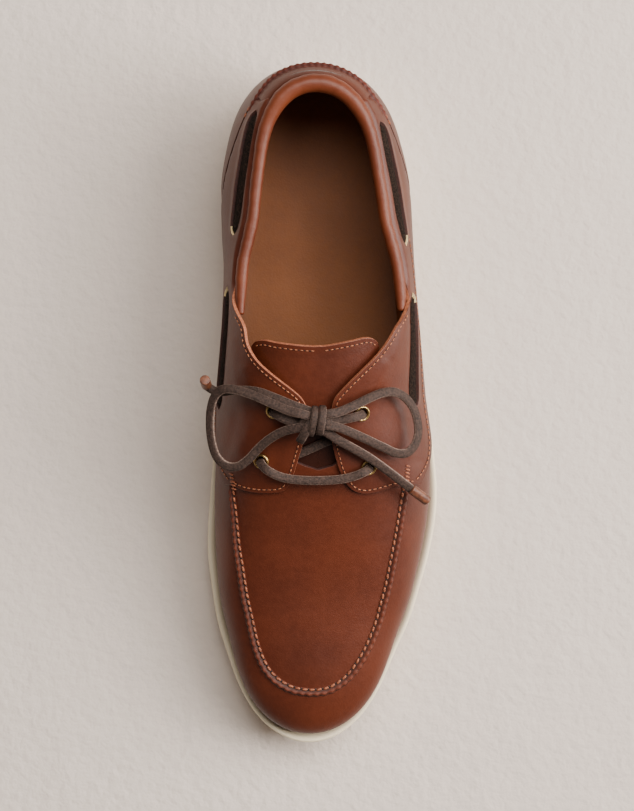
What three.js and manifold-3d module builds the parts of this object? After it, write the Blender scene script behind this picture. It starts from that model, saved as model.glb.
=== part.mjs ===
// A left boat shoe, EU 42, standing empty on its sole.
// Millimetres, +Z up, toe towards -Y, +X on the outer (lateral) side of the foot.
// "s" is the distance from the back of the heel, and "form(d)" is the last grown by d.

import * as THREE from 'three';
import { ParametricGeometry } from 'three/addons/geometries/ParametricGeometry.js';
import { mergeVertices } from 'three/addons/utils/BufferGeometryUtils.js';
import Module from 'manifold-3d';

const wasm = await Module();
wasm.setup();

// ---------- driving dimensions ----------
const SHOE_LENGTH = 290;
const HEEL_BULGE = 0.5;     // how far the counter stands out behind the start of s
const HEEL_Y = (SHOE_LENGTH - HEEL_BULGE) / 2;
const AXIS_X = -6;          // from the back of the heel to the tip of the toe
const RIDGE_X = -4.5;       // the middle of the throat and of the apron
const GAP = 0.3;            // between pieces that touch
const WALL = 2;             // upper leather with its lining
const QUARTER = 1.6;        // quarters, with the facings, over the upper
const COUNTER = 1.4;        // heel counter over the upper
const INSOLE = 3;
const TONGUE = 1.8;
const FLANGE = 10;          // upper leather turned in under the insole
const ROLL_RADIUS = 2.8;    // padded collar
const LACE_RADIUS = 1.6;
const COLUMNS = 48;         // of a form, round the plan
const BOTTOM_ROWS = 4;      // of a form, below its widest line
const SIDE_ROWS = 9;        // and above it, up to the ridge

// The last: half widths to each side of its axis, the height of its bottom and of its widest
// line, how far its bottom edge is set in, and the powers of its section on the medial (inner)
// and lateral (outer) side, where 2 is an ellipse. Below 2 the power eases in up to SHOULDER.
const SHOULDER = 0.7;       // a section angle
const LAST = { heel: 3.2, toe: 283.7, heelRound: 48, toeRound: 58, ridgeHeel: 50, ridgeToe: 248 };
const LAST_ROWS = [
  { s: 0, medial: 39, lateral: 40.5, bottom: 14, widest: 40, tuck: 6, inner: 2.4, outer: 2.4 },
  { s: 13, medial: 36.2, lateral: 38.4, bottom: 14, widest: 39.6, tuck: 6, inner: 2.05, outer: 2.05 },
  { s: 34, medial: 33.8, lateral: 36.6, bottom: 14, widest: 39, tuck: 6, inner: 1.8, outer: 1.8 },
  { s: 57, medial: 34.5, lateral: 38.6, bottom: 13.6, widest: 38, tuck: 6, inner: 1.8, outer: 1.8 },
  { s: 72, medial: 34.2, lateral: 39.4, bottom: 13.2, widest: 37.6, tuck: 6.4, inner: 2.1, outer: 2.05 },
  { s: 86, medial: 33.4, lateral: 40, bottom: 12.6, widest: 37, tuck: 7, inner: 2.65, outer: 2.4 },
  { s: 110, medial: 34.3, lateral: 42.1, bottom: 11.7, widest: 36, tuck: 7, inner: 2.85, outer: 2.5 },
  { s: 140, medial: 36.8, lateral: 45.4, bottom: 10.4, widest: 34, tuck: 5.5, inner: 2.5, outer: 2.05 },
  { s: 166, medial: 38.4, lateral: 49.2, bottom: 9.2, widest: 32, tuck: 4.5, inner: 2.4, outer: 2.2 },
  { s: 193, medial: 38.8, lateral: 48, bottom: 8.6, widest: 30, tuck: 4, inner: 2.5, outer: 2.5 },
  { s: 220, medial: 37.4, lateral: 42.8, bottom: 8.8, widest: 28, tuck: 4, inner: 2.8, outer: 2.8 },
  { s: 247, medial: 34.2, lateral: 36.4, bottom: 10.4, widest: 27, tuck: 4, inner: 2.7, outer: 2.7 },
  { s: 286, medial: 37.6, lateral: 37.6, bottom: 15.5, widest: 27, tuck: 4, inner: 2.3, outer: 2.3 },
];
const RIDGE_ROWS = [
  { s: 0, top: 96 }, { s: 50, top: 94 }, { s: 95, top: 92 }, { s: 120, top: 87.5 },
  { s: 145, top: 79 }, { s: 170, top: 68.5 }, { s: 195, top: 57.5 }, { s: 222, top: 48 },
  { s: 248, top: 42 }, { s: 286, top: 35.5 },
];

// The sole: half widths of its top edge to each side of the axis, and the height of that edge.
const SOLE = { heel: 2, toe: 290, heelRound: 48, toeRound: 60 };
const SOLE_ROWS = [
  { s: 0, medial: 38, lateral: 39.5, edge: 23 },
  { s: 35, medial: 35.6, lateral: 38.6, edge: 22.6 },
  { s: 70, medial: 35.8, lateral: 41, edge: 21.6 },
  { s: 100, medial: 35.4, lateral: 43.6, edge: 20.4 },
  { s: 130, medial: 37.4, lateral: 48, edge: 18.8 },
  { s: 160, medial: 40.6, lateral: 53.6, edge: 17.4 },
  { s: 185, medial: 42.7, lateral: 55.6, edge: 16.8 },
  { s: 207, medial: 43.7, lateral: 52.6, edge: 16.8 },
  { s: 234, medial: 40.4, lateral: 45, edge: 17.6 },
  { s: 255, medial: 37.6, lateral: 39.4, edge: 19 },
  { s: 290, medial: 38, lateral: 38, edge: 23 },
];
const FLAT_HEEL = 75;       // the heel rests from 5 mm on to here
const FLAT_BALL = [165, 215];
const ARCH = 3.5;
const TOE_SPRING = 9;

// The top line of the collar, from the heel to where it ends at the facings.
const TOPLINE_ROWS = [
  { s: 0, z: 78 }, { s: 28, z: 75.3 }, { s: 48, z: 74 }, { s: 68, z: 73 }, { s: 88, z: 71.8 },
  { s: 106, z: 71.6 }, { s: 114, z: 74.5 }, { s: 121, z: 81 },
];
const COLLAR_END = 108;

// ---------- curves and forms ----------

/** A column of a table at s, on a smooth curve through its rows. */
function along(rows, column, s) {
  const last = rows.length - 1;
  const at = THREE.MathUtils.clamp(s, rows[0].s, rows[last].s);
  const i = Math.min(last - 1, Math.max(0, rows.findIndex((row) => row.s > at) - 1));
  const k = at >= rows[last].s ? last - 1 : i;
  const slope = (a) => {
    const low = rows[Math.max(0, a - 1)];
    const high = rows[Math.min(last, a + 1)];
    return (high[column] - low[column]) / (high.s - low.s);
  };
  const span = rows[k + 1].s - rows[k].s;
  const t = (at - rows[k].s) / span;
  const ease = t * t * (3 - 2 * t);
  return rows[k][column] * (1 - ease) + rows[k + 1][column] * ease
    + span * t * (1 - t) * (slope(k) * (1 - t) - slope(k + 1) * t);
}

/** How full an outline is near a rounded end, t from the end. */
const endRound = (t, length) => (t >= length ? 1 : Math.sqrt(Math.max(0, 1 - (1 - t / length) ** 2)));

/** A point on an outline grown by d, as { s, x }. u runs from the heel along the lateral side. */
function outline(shape, rows, u, d) {
  const heel = shape.heel - d;
  const toe = shape.toe + d;
  const s = heel + ((toe - heel) * (1 - Math.cos(2 * Math.PI * u))) / 2;
  const round = endRound(s - heel, shape.heelRound + d) * endRound(toe - s, shape.toeRound + d);
  const side = u < 0.5 ? 1 : -1;
  const half = along(rows, u < 0.5 ? 'lateral' : 'medial', s) + d;
  return { s, x: AXIS_X + side * half * round };
}

/** Where column u of the last meets the ridge. */
const ridgeStation = (u) => LAST.ridgeHeel
  + ((LAST.ridgeToe - LAST.ridgeHeel) * (1 - Math.cos(2 * Math.PI * u))) / 2;

/** The point of the last grown by d in column u at section angle a, 0 at its widest line. */
function sideOfLast(u, a, d) {
  const edge = outline(LAST, LAST_ROWS, u, d);
  const ridge = ridgeStation(u);
  const power = along(LAST_ROWS, u < 0.5 ? 'outer' : 'inner', edge.s);
  const widest = along(LAST_ROWS, 'widest', edge.s);
  const eased = power + Math.max(0, 2 - power) * (1 - THREE.MathUtils.smoothstep(a, 0, SHOULDER));
  const reach = (Math.cos(a) ** eased + Math.sin(a) ** eased) ** (-1 / eased);
  const out = reach * Math.cos(a);
  const up = reach * Math.sin(a);
  const s = ridge + (edge.s - ridge) * out;
  const z = widest + (along(RIDGE_ROWS, 'top', s) + d - widest) * up;
  return { s, x: RIDGE_X + (edge.x - RIDGE_X) * out, z };
}

/** The same for its bottom: t is 0 on the middle line and 1 at its widest line. */
function bottomOfLast(u, t, d) {
  const edge = outline(LAST, LAST_ROWS, u, d);
  const ridge = ridgeStation(u);
  const reach = Math.hypot(edge.s - ridge, edge.x - RIDGE_X);
  const tuck = along(LAST_ROWS, 'tuck', edge.s) / reach;
  const flat = Math.min(1, t * 2);
  const rise = Math.max(0, t * 2 - 1);
  const out = (1 - tuck) * flat + tuck * Math.sin((rise * Math.PI) / 2);
  const s = ridge + (edge.s - ridge) * out;
  const floor = along(LAST_ROWS, 'bottom', s) - d;
  const z = floor + (along(LAST_ROWS, 'widest', edge.s) - floor) * rise ** 1.3;
  return { s, x: RIDGE_X + (edge.x - RIDGE_X) * out, z };
}

/** A closed solid from a function of u, round the plan, and v, from the bottom to the ridge. */
function loft(point, columns, rows) {
  const place = (u, v, target) => {
    const p = point(u >= 1 ? 0 : u, v);
    target.set(p.x, HEEL_Y - p.s, p.z);
  };
  return solid(new ParametricGeometry(place, columns, rows));
}

/** A geometry as a manifold-3d solid, facing outward. */
function solid(geometry) {
  const bare = new THREE.BufferGeometry();
  bare.setAttribute('position', geometry.getAttribute('position'));
  bare.setIndex(geometry.getIndex());
  const merged = mergeVertices(bare, 1e-4);
  const index = Array.from(merged.getIndex().array);
  const kept = [];
  for (let i = 0; i < index.length; i += 3) {
    const [a, b, c] = index.slice(i, i + 3);
    if (a !== b && b !== c && c !== a) kept.push(a, b, c);
  }
  const vertProperties = new Float32Array(merged.getAttribute('position').array);
  let made = new wasm.Manifold(
    new wasm.Mesh({ numProp: 3, vertProperties, triVerts: new Uint32Array(kept) }));
  if (made.volume() < 0) {
    const turned = kept.map((_, i) => kept[i - (i % 3) + (2 - (i % 3))]);
    made = new wasm.Manifold(
      new wasm.Mesh({ numProp: 3, vertProperties, triVerts: new Uint32Array(turned) }));
  }
  return made;
}

/** The last grown by d, as a solid. */
function form(d) {
  const point = (u, v) => {
    const row = Math.round(v * (BOTTOM_ROWS + SIDE_ROWS));
    if (row < BOTTOM_ROWS) return bottomOfLast(u, row / BOTTOM_ROWS, d);
    return sideOfLast(u, ((row - BOTTOM_ROWS) / SIDE_ROWS) * (Math.PI / 2), d);
  };
  return loft(point, COLUMNS, BOTTOM_ROWS + SIDE_ROWS);
}

/** A shape drawn as [s, x] and pushed up from z = low to z = high. */
function planPrism(points, low, high) {
  const shape = new THREE.Shape(points.map(([s, x]) => new THREE.Vector2(x, HEEL_Y - s)));
  const geometry = new THREE.ExtrudeGeometry(shape, { depth: high - low, bevelEnabled: false });
  return solid(geometry.translate(0, 0, low));
}

/** A shape drawn as [s, z] and pushed across from x = left to x = right. */
function sidePrism(points, left, right) {
  const shape = new THREE.Shape(points.map(([s, z]) => new THREE.Vector2(HEEL_Y - s, z)));
  const geometry = new THREE.ExtrudeGeometry(shape, { depth: right - left, bevelEnabled: false });
  const turn = new THREE.Matrix4().makeBasis(
    new THREE.Vector3(0, 1, 0), new THREE.Vector3(0, 0, 1), new THREE.Vector3(1, 0, 0));
  return solid(geometry.applyMatrix4(turn).translate(left, 0, 0));
}

/** A rounded strip of the given radius along points. */
function tube(points, radius, steps, sides = 8) {
  const section = new THREE.Shape();
  section.absarc(0, 0, radius, 0, Math.PI * 2);
  const curve = new THREE.CatmullRomCurve3(points.map((p) => new THREE.Vector3(...p)));
  return new THREE.ExtrudeGeometry(
    section, { steps, bevelEnabled: false, extrudePath: curve, curveSegments: sides / 2 });
}

const WIDE = 100;
const TOP = 130;

const wall = form(WALL);
const hollow = form(0);
const overWall = form(WALL + GAP);

// ---------- outsole ----------

/** The height of the sole's underside: flat at heel and ball, with an arch and toe spring. */
function underside(s) {
  const arch = THREE.MathUtils.clamp((s - FLAT_HEEL) / (FLAT_BALL[0] - FLAT_HEEL), 0, 1);
  const spring = Math.max(0, (s - FLAT_BALL[1]) / (SHOE_LENGTH - FLAT_BALL[1]));
  return ARCH * Math.sin(Math.PI * arch) ** 2 + TOE_SPRING * spring ** 2;
}

const SOLE_SIDE = [         // how far the side is set in, from the ground up to the top edge
  { inset: 4.4, up: 0 }, { inset: 2, up: 0.12 }, { inset: 0.9, up: 0.45 }, { inset: 0, up: 0.9 },
  { inset: 0.7, up: 1 },
];

function makeOutsole() {
  const point = (u, v) => {
    const row = Math.round(v * (SOLE_SIDE.length + 1));
    const outer = outline(SOLE, SOLE_ROWS, u, 0);
    const ridge = 30 + ((outer.s - SOLE.heel) / (SOLE.toe - SOLE.heel)) * (SHOE_LENGTH - 60);
    if (row === 0) return { s: ridge, x: AXIS_X, z: underside(ridge) };
    if (row > SOLE_SIDE.length) return { s: ridge, x: AXIS_X, z: along(SOLE_ROWS, 'edge', ridge) };
    const side = SOLE_SIDE[row - 1];
    const at = outline(SOLE, SOLE_ROWS, u, -side.inset);
    const low = underside(at.s);
    return { ...at, z: low + (along(SOLE_ROWS, 'edge', at.s) - low) * side.up };
  };
  return loft(point, COLUMNS, SOLE_SIDE.length + 1).subtract(overWall);
}

// ---------- upper, insole and tongue ----------

// The facings' edge along the throat and round their front corners, on each side.
const FACING_MEDIAL = [
  [104, -36.6], [112, -35.9], [119, -34.6], [124, -32.2], [128.5, -28.4], [138.4, -15.8],
  [142, -11.8], [146.5, -9.4], [156, -10], [168, -13], [177.5, -15.8], [180.8, -19],
  [181.4, -25.6], [180.7, -34], [178.8, -41],
];
const FACING_LATERAL = [
  [104, 30.4], [112.4, 27.9], [118, 24.4], [123, 20.6], [133.2, 10.3], [138.4, 5.1],
  [142.3, 1.9], [147, 0.8], [159.3, 1.2], [169.7, 3.8], [176.5, 6.6], [180.6, 10.6],
  [181.7, 15], [181.1, 20.1], [178, 32],
];
const THROAT_GROWN = 1.4;   // the upper's throat is this much wider than the facings'
const THROAT_END = 158;

function throat() {
  const left = FACING_MEDIAL.filter(([s]) => s < THROAT_END - 3);
  const right = FACING_LATERAL.filter(([s]) => s < THROAT_END - 3);
  const wider = [
    ...left.map(([s, x]) => [s + THROAT_GROWN, x - THROAT_GROWN]),
    [THROAT_END, RIDGE_X - 4], [THROAT_END, RIDGE_X + 4],
    ...right.map(([s, x]) => [s + THROAT_GROWN, x + THROAT_GROWN]).reverse(),
  ];
  return planPrism(wider, 55, TOP);
}

/** Everything above the collar's top line, behind the throat. */
function aboveTopline() {
  const line = [];
  for (let s = -40; s <= 120; s += 5) line.push([s, along(TOPLINE_ROWS, 'z', s)]);
  return sidePrism([...line, [122, TOP], [-40, TOP]], -WIDE, WIDE);
}

/** The opening in the upper's underside, inside the turned-in flange. */
function underOpening() {
  const points = [];
  for (let i = 0; i < 32; i += 1) {
    const p = outline(LAST, LAST_ROWS, i / 32, -FLANGE);
    points.push([p.s, p.x]);
  }
  return planPrism(points, 0, 22);
}

/** The point of the last grown by d, in column u, where the collar's top line crosses it. */
function onTopline(u, d) {
  let low = 0;
  let high = Math.PI / 2;
  for (let i = 0; i < 24; i += 1) {
    const middle = (low + high) / 2;
    const p = sideOfLast(u, middle, d);
    if (p.z < along(TOPLINE_ROWS, 'z', p.s)) low = middle;
    else high = middle;
  }
  return sideOfLast(u, low, d);
}

const COLLAR_COLUMNS = 50;
const COLLAR_STEPS = 28;

/** The collar's middle line, from its medial end round the heel to its lateral end. */
function collarPath() {
  const half = (side) => {
    const points = [];
    for (let i = 0; i < COLLAR_COLUMNS / 2; i += 1) {
      const u = i / COLLAR_COLUMNS;
      const p = onTopline(side < 0 && i > 0 ? 1 - u : u, WALL / 2);
      if (p.s > COLLAR_END) break;
      points.push([p.x, HEEL_Y - p.s, p.z]);
    }
    return points;
  };
  return [...half(-1).reverse(), ...half(1).slice(1)];
}

/** A path with both ends drawn out by the given length. */
function drawnOut(points, length) {
  const past = (end, before) => {
    const from = new THREE.Vector3(...before);
    const way = new THREE.Vector3(...end).sub(from);
    return [...from.addScaledVector(way, 1 + length / way.length())];
  };
  const last = points.length - 1;
  return [past(points[0], points[1]), ...points.slice(1, last), past(points[last], points[last - 1])];
}

const collarLine = collarPath();
const roll = solid(tube(collarLine, ROLL_RADIUS, COLLAR_STEPS, 10));
const rollRoom = solid(
  tube(drawnOut(collarLine, 2 * GAP), ROLL_RADIUS + 1.5 * GAP, COLLAR_STEPS, 10));

function makeInsole() {
  const line = [];
  for (let s = -20; s <= 310; s += 15) line.push([s, along(LAST_ROWS, 'bottom', s) + GAP + INSOLE]);
  return form(-GAP).subtract(sidePrism([...line, [310, TOP], [-20, TOP]], -WIDE, WIDE));
}

const TONGUE_OUTLINE = [
  [120.4, -32.6], [118.4, -31], [118.4, -24], [120, -12], [120.3, -2], [118.6, 8], [117, 15],
  [118.2, 19.4], [121, 20.6], [150, 17], [172, 12], [172, -21], [150, -27],
];
const makeTongue = () => form(-GAP).subtract(form(-GAP - TONGUE)).intersect(
  planPrism(TONGUE_OUTLINE, 30, TOP));

// ---------- quarters, counter and back strap ----------

const overQuarter = form(WALL + GAP + QUARTER);
const quarterShell = overQuarter.subtract(overWall);
const counterShell = form(WALL + GAP + COUNTER).subtract(overWall);

// The line where the counter and the quarter meet, then the quarter's lower edge, as [s, z].
const COUNTER_EDGE = [
  [14, 64], [20, 62.5], [28, 60], [34, 57.4], [41, 54], [48, 50.5], [56, 45],
];
const QUARTER_EDGE = [
  [62, 42], [100, 42], [130, 42.5], [150, 43.5], [162, 45.5], [170, 48.5], [177, 53],
  [184, 58], [195, 62],
];
const STRAP_FRONT = 17;     // the back strap covers the heel up to here, between these heights
const STRAP_LOW = 64;

// The slots that show the side lace: the middle line as [s, z] and half the height.
const SLOTS = [
  { name: 'rear_medial', side: -1, half: 2.2, line: [[23, 70.9], [48, 69.6], [73, 67.2]] },
  { name: 'rear_lateral', side: 1, half: 2.2, line: [[27, 71], [50, 69.6], [76, 68]] },
  { name: 'front_medial', side: -1, half: 2.4, line: [[96, 61.5], [110, 61], [122, 58.5], [145, 52]] },
  { name: 'front_lateral', side: 1, half: 2.4, line: [[98, 66], [110, 67.2], [122, 65.6], [145, 60]] },
];

/** A slot's outline grown by g, pushed out to one side. */
function slot(row, g) {
  const half = row.half + g;
  const middle = row.line.slice(1, -1);
  const [s0, z0] = row.line[0];
  const [s1, z1] = row.line[row.line.length - 1];
  const points = [
    [s0 - g, z0], [s0 + 1.5, z0 + half], ...middle.map(([s, z]) => [s, z + half]),
    [s1 - 1.5, z1 + half], [s1 + g, z1], [s1 - 1.5, z1 - half],
    ...middle.map(([s, z]) => [s, z - half]).reverse(), [s0 + 1.5, z0 - half],
  ];
  return row.side < 0 ? sidePrism(points, -WIDE, AXIS_X - 8) : sidePrism(points, AXIS_X + 8, WIDE);
}

// The eyelets, as [s, x].
const EYELETS = [
  { name: 'front_medial', s: 167.8, x: -27.8 },
  { name: 'front_lateral', s: 170.4, x: 16.6 },
  { name: 'rear_medial', s: 146.9, x: -22.9 },
  { name: 'rear_lateral', s: 147.9, x: 13.3 },
];
const EYELET_OUTER = 3.45;
const EYELET_HOLE = 2.2;
const EYELET_BARREL = 2.6;
const EYELET_LIFT = 0.9;    // the flange lies this far over the curved facing

/** The height of the last grown by d over a place [s, x] on its top, and its normal there. */
function heightOver(s, x, d) {
  const column = (u) => {
    let best = null;
    for (let a = 0.02; a < Math.PI / 2; a += 0.01) {
      const p = sideOfLast(u, a, d);
      const far = Math.hypot(p.s - s, p.x - x);
      if (!best || far < best.far) best = { ...p, far };
    }
    return best;
  };
  let best = null;
  for (let u = 0.02; u < 0.98; u += 0.004) {
    const p = column(u);
    if (!best || p.far < best.far) best = p;
  }
  return best.z;
}

function eyeletPlace({ s, x }) {
  const d = WALL + GAP + QUARTER;
  const step = 3;
  const z = heightOver(s, x, d);
  const across = (heightOver(s, x + step, d) - heightOver(s, x - step, d)) / (2 * step);
  const ahead = (heightOver(s + step, x, d) - heightOver(s - step, x, d)) / (2 * step);
  const normal = new THREE.Vector3(-across, ahead, 1).normalize();
  const turn = new THREE.Quaternion().setFromUnitVectors(new THREE.Vector3(0, 0, 1), normal);
  return { centre: new THREE.Vector3(x, HEEL_Y - s, z), turn };
}

/** A turned piece set on an eyelet's place, its axis along the normal there. */
function turned(profile, place) {
  const points = profile.map(([r, z]) => new THREE.Vector2(r, z));
  const geometry = new THREE.LatheGeometry(points, 12).rotateX(Math.PI / 2);
  return solid(geometry.applyQuaternion(place.turn).translate(...place.centre));
}

const eyelets = EYELETS.map((row) => ({ ...row, place: eyeletPlace(row) }));
const eyeletRoom = eyelets.map(({ place }) => turned(
  [[0, -9], [EYELET_BARREL + GAP, -9], [EYELET_BARREL + GAP, 5], [0, 5]], place));

function makeEyelet({ place }) {
  const profile = [
    [EYELET_HOLE, -3.2], [EYELET_BARREL, -3.2], [EYELET_BARREL, EYELET_LIFT],
    [EYELET_OUTER, EYELET_LIFT], [EYELET_OUTER - 0.2, EYELET_LIFT + 0.6],
    [EYELET_HOLE + 0.4, EYELET_LIFT + 0.8], [EYELET_HOLE, EYELET_LIFT + 0.4], [EYELET_HOLE, -3.2],
  ];
  return turned(profile, place);
}

/** The quarter with its facing on one side, with its slots and eyelet holes. */
function makeQuarter(side) {
  const facing = side < 0 ? FACING_MEDIAL : FACING_LATERAL;
  const middle = AXIS_X + side * (GAP / 2);
  const plan = planPrism([
    [-30, middle], [100, middle], [102, facing[0][1]], ...facing, [200, side * 60],
    [200, side * WIDE], [-30, side * WIDE],
  ], 20, TOP);
  const gapped = COUNTER_EDGE.map(([s, z]) => [s + 0.2, z + 0.4]);
  const profile = sidePrism([
    [STRAP_FRONT + GAP, TOP], [STRAP_FRONT + GAP, gapped[0][1]], ...gapped.slice(1), ...QUARTER_EDGE,
    [195, TOP],
  ], -WIDE, WIDE);
  const openings = SLOTS.filter((row) => row.side === side).map((row) => slot(row, 0));
  return [aboveTopline(), rollRoom, ...openings, ...eyeletRoom].reduce(
    (piece, cutter) => piece.subtract(cutter), quarterShell.intersect(plan).intersect(profile));
}

const makeCounter = () => counterShell.intersect(sidePrism([
  [-40, 24], [66, 22.5], [60, 42], ...COUNTER_EDGE.slice(1).reverse(), [14, 63.6], [-40, 63.6],
], -WIDE, WIDE));

const makeStrap = () => quarterShell.intersect(sidePrism([
  [-40, STRAP_LOW], [14, STRAP_LOW], [STRAP_FRONT, STRAP_LOW - 0.7], [STRAP_FRONT, TOP], [-40, TOP],
], -WIDE, WIDE)).subtract(aboveTopline()).subtract(rollRoom);

const makeSideLace = (row) => form(WALL + GAP + 1.2).subtract(overWall).intersect(slot(row, -GAP));

function makeUpper() {
  const cutters = [hollow, aboveTopline(), throat(), rollRoom, underOpening(), ...eyeletRoom];
  return cutters.reduce((piece, cutter) => piece.subtract(cutter), wall);
}

// ---------- lace ----------

// Each strand as [x, s, z], by hand, along the middle of the lace.
const BARS = [
  { name: 'front', steps: 14, route: [
    [-28, 167.6, 76], [-25, 172.2, 74.2], [-19.1, 174.8, 73.4], [-9.4, 175.8, 73],
    [3.6, 175.5, 73], [10.1, 174.2, 73.2], [14.7, 172.2, 73.6], [16.5, 170.2, 74.8]] },
  { name: 'rear_medial', steps: 6, route: [
    [-23.3, 146.8, 83.8], [-20.1, 149.1, 84], [-16, 150.2, 84.4], [-11.6, 150.4, 85]] },
  { name: 'rear_lateral', steps: 6, route: [
    [12.9, 147.8, 83.5], [9.6, 149.4, 84.2], [4.3, 150.1, 84.4], [-1.2, 150.2, 85]] },
];
const STRANDS = [
  { name: 'loop_medial', steps: 18, route: [
    [-12, 148.2, 89.8], [-16.6, 147, 89], [-22.7, 144.6, 87.4], [-29.1, 141.6, 85.2],
    [-37.4, 138.4, 81.6], [-43.8, 137.8, 78.4], [-47.7, 140.7, 75.2], [-49.6, 146.2, 72.4],
    [-50, 153.4, 70.4], [-49, 160.6, 69], [-46.4, 166.4, 69], [-42.5, 169.7, 69.5],
    [-37.9, 170, 71], [-33.4, 167, 73.2], [-29.6, 162.8, 76], [-25.2, 158.8, 79.5],
    [-19.4, 155.4, 83.4], [-12, 153.6, 87]] },
  { name: 'loop_lateral', steps: 18, route: [
    [-1, 148.2, 89.6], [2.9, 147.5, 89], [9.4, 144.9, 87.4], [16, 141.7, 85.6],
    [21.3, 139.6, 83.6], [26.6, 139.1, 80.8], [31.4, 141.4, 76], [34.8, 145.3, 73], [36.9, 150.8, 71],
    [37.3, 156.7, 70], [35.7, 161.5, 70], [32.4, 164.5, 70.8], [27.7, 164.4, 73],
    [23, 162.3, 76], [16.3, 159.2, 80], [9.6, 156.2, 83.8], [3, 153.6, 86.6], [-1, 152.9, 88]] },
  { name: 'end_medial', steps: 14, route: [
    [-12, 145.6, 86.4], [-16.3, 144, 86], [-22.7, 141.2, 84.6], [-30.3, 138.2, 82],
    [-38.7, 138.4, 75.6], [-43.8, 139.2, 71.6], [-47.3, 138.8, 69.6], [-49.6, 137.1, 70.2]] },
  { name: 'end_lateral', steps: 12, route: [
    [-1.6, 155.6, 83.8], [3.2, 158.8, 82], [9.8, 162.4, 79.5], [16.5, 166.3, 76],
    [23.2, 170.9, 72.5], [29.9, 175.9, 69], [34.7, 179.6, 66.2]] },
];
const TIPS = [
  { name: 'medial', route: [[-51, 135.9, 72.4], [-51.3, 135, 75.8], [-51.5, 134.2, 79.4]] },
  { name: 'lateral', route: [[35.1, 179.9, 66], [38.4, 182.3, 64], [41.6, 184.6, 62]] },
];
const TIP_RADIUS = 2.2;
const KNOT = { x: -6.5, s: 150.8, z: 87.3, wide: 4.2, long: 5.6, high: 3.8 };

const strand = ({ route, steps }, radius) => solid(tube(
  route.map(([x, s, z]) => [x, HEEL_Y - s, z]), radius, steps));

const makeKnot = () => solid(new THREE.SphereGeometry(1, 12, 8).rotateX(Math.PI / 2)
  .scale(KNOT.wide, KNOT.long, KNOT.high).translate(KNOT.x, HEEL_Y - KNOT.s, KNOT.z));

// ---------- the shoe ----------

const LEATHER = { color: 0x7e4423, roughness: 0.45, metalness: 0 };
const DARK_LACE = { color: 0x3a2a24, roughness: 0.7, metalness: 0 };
const LOOKS = {
  outsole: { color: 0xddd2bd, roughness: 0.7, metalness: 0 },
  insole: { color: 0x75492a, roughness: 0.6, metalness: 0 },
  brass: { color: 0xa5814a, roughness: 0.3, metalness: 1 },
};

const shoe = new THREE.Group();

function add(name, piece, look) {
  const mesh = piece.getMesh();
  const geometry = new THREE.BufferGeometry();
  geometry.setAttribute('position', new THREE.BufferAttribute(mesh.vertProperties, 3));
  geometry.setIndex(new THREE.BufferAttribute(mesh.triVerts, 1));
  geometry.computeVertexNormals();
  const part = new THREE.Mesh(geometry, new THREE.MeshStandardMaterial(look));
  part.name = name;
  shoe.add(part);
}

add('outsole', makeOutsole(), LOOKS.outsole);
add('upper', makeUpper(), LEATHER);
add('insole', makeInsole(), LOOKS.insole);
add('tongue', makeTongue(), LEATHER);
add('quarter_medial', makeQuarter(-1), LEATHER);
add('quarter_lateral', makeQuarter(1), LEATHER);
add('heel_counter', makeCounter(), LEATHER);
add('back_strap', makeStrap(), LEATHER);
add('collar_roll', roll, LEATHER);
SLOTS.forEach((row) => add(`side_lace_${row.name}`, makeSideLace(row), DARK_LACE));
eyelets.forEach((row) => add(`eyelet_${row.name}`, makeEyelet(row), LOOKS.brass));
BARS.forEach((row) => add(`lace_bar_${row.name}`, strand(row, LACE_RADIUS), DARK_LACE));
add('lace_knot', makeKnot(), DARK_LACE);
STRANDS.forEach((row) => add(`lace_${row.name}`, strand(row, LACE_RADIUS), DARK_LACE));
TIPS.forEach((row) => add(`lace_tip_${row.name}`, strand({ ...row, steps: 3 }, TIP_RADIUS), LEATHER));

export default shoe;
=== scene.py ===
# A left boat shoe, EU 42, standing empty on its sole, dressed for rendering round its frame.
# The tables are in millimetres: s runs from the back of the heel to the toe, x to the outer
# (lateral) side, z up. "grown" is how far a surface lies outside the last; meshes are in metres.
import math

import bmesh
import bpy
import numpy as np
from mathutils import Matrix, Vector, kdtree


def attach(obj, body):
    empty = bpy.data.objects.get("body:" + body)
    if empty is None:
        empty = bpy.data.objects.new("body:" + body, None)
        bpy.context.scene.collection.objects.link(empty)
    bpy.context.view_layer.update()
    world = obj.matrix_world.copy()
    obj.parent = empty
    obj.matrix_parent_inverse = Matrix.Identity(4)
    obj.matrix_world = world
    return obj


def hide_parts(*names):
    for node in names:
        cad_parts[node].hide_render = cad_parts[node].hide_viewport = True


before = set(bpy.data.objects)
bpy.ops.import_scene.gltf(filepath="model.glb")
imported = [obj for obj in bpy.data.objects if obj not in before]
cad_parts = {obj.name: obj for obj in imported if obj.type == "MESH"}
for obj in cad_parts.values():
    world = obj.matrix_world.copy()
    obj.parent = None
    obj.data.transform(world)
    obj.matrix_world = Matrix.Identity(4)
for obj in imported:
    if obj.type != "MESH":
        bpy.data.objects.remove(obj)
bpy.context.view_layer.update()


# ---------- camera, floor and light ----------
# The shoe stands on a pale plaster floor, seen straight from above and a little from its inner
# side. Two wide soft lamps stand at its outer side, one high and one low, and one hangs behind
# its heel.
CAMERA_PLACE = (-0.063, 0.00145, 1.4)
CAMERA_TARGET = (-0.0035, 0.0, 0.04)
CAMERA_LENS = 142


def looking(place, target, up=(0, 1, 0)):
    """The matrix of a camera or a lamp at a place, turned to look at a target."""
    back = (Vector(place) - Vector(target)).normalized()
    right = Vector(up).cross(back).normalized()
    turn = Matrix((right, back.cross(right), back)).transposed().to_4x4()
    return Matrix.Translation(place) @ turn


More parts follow.
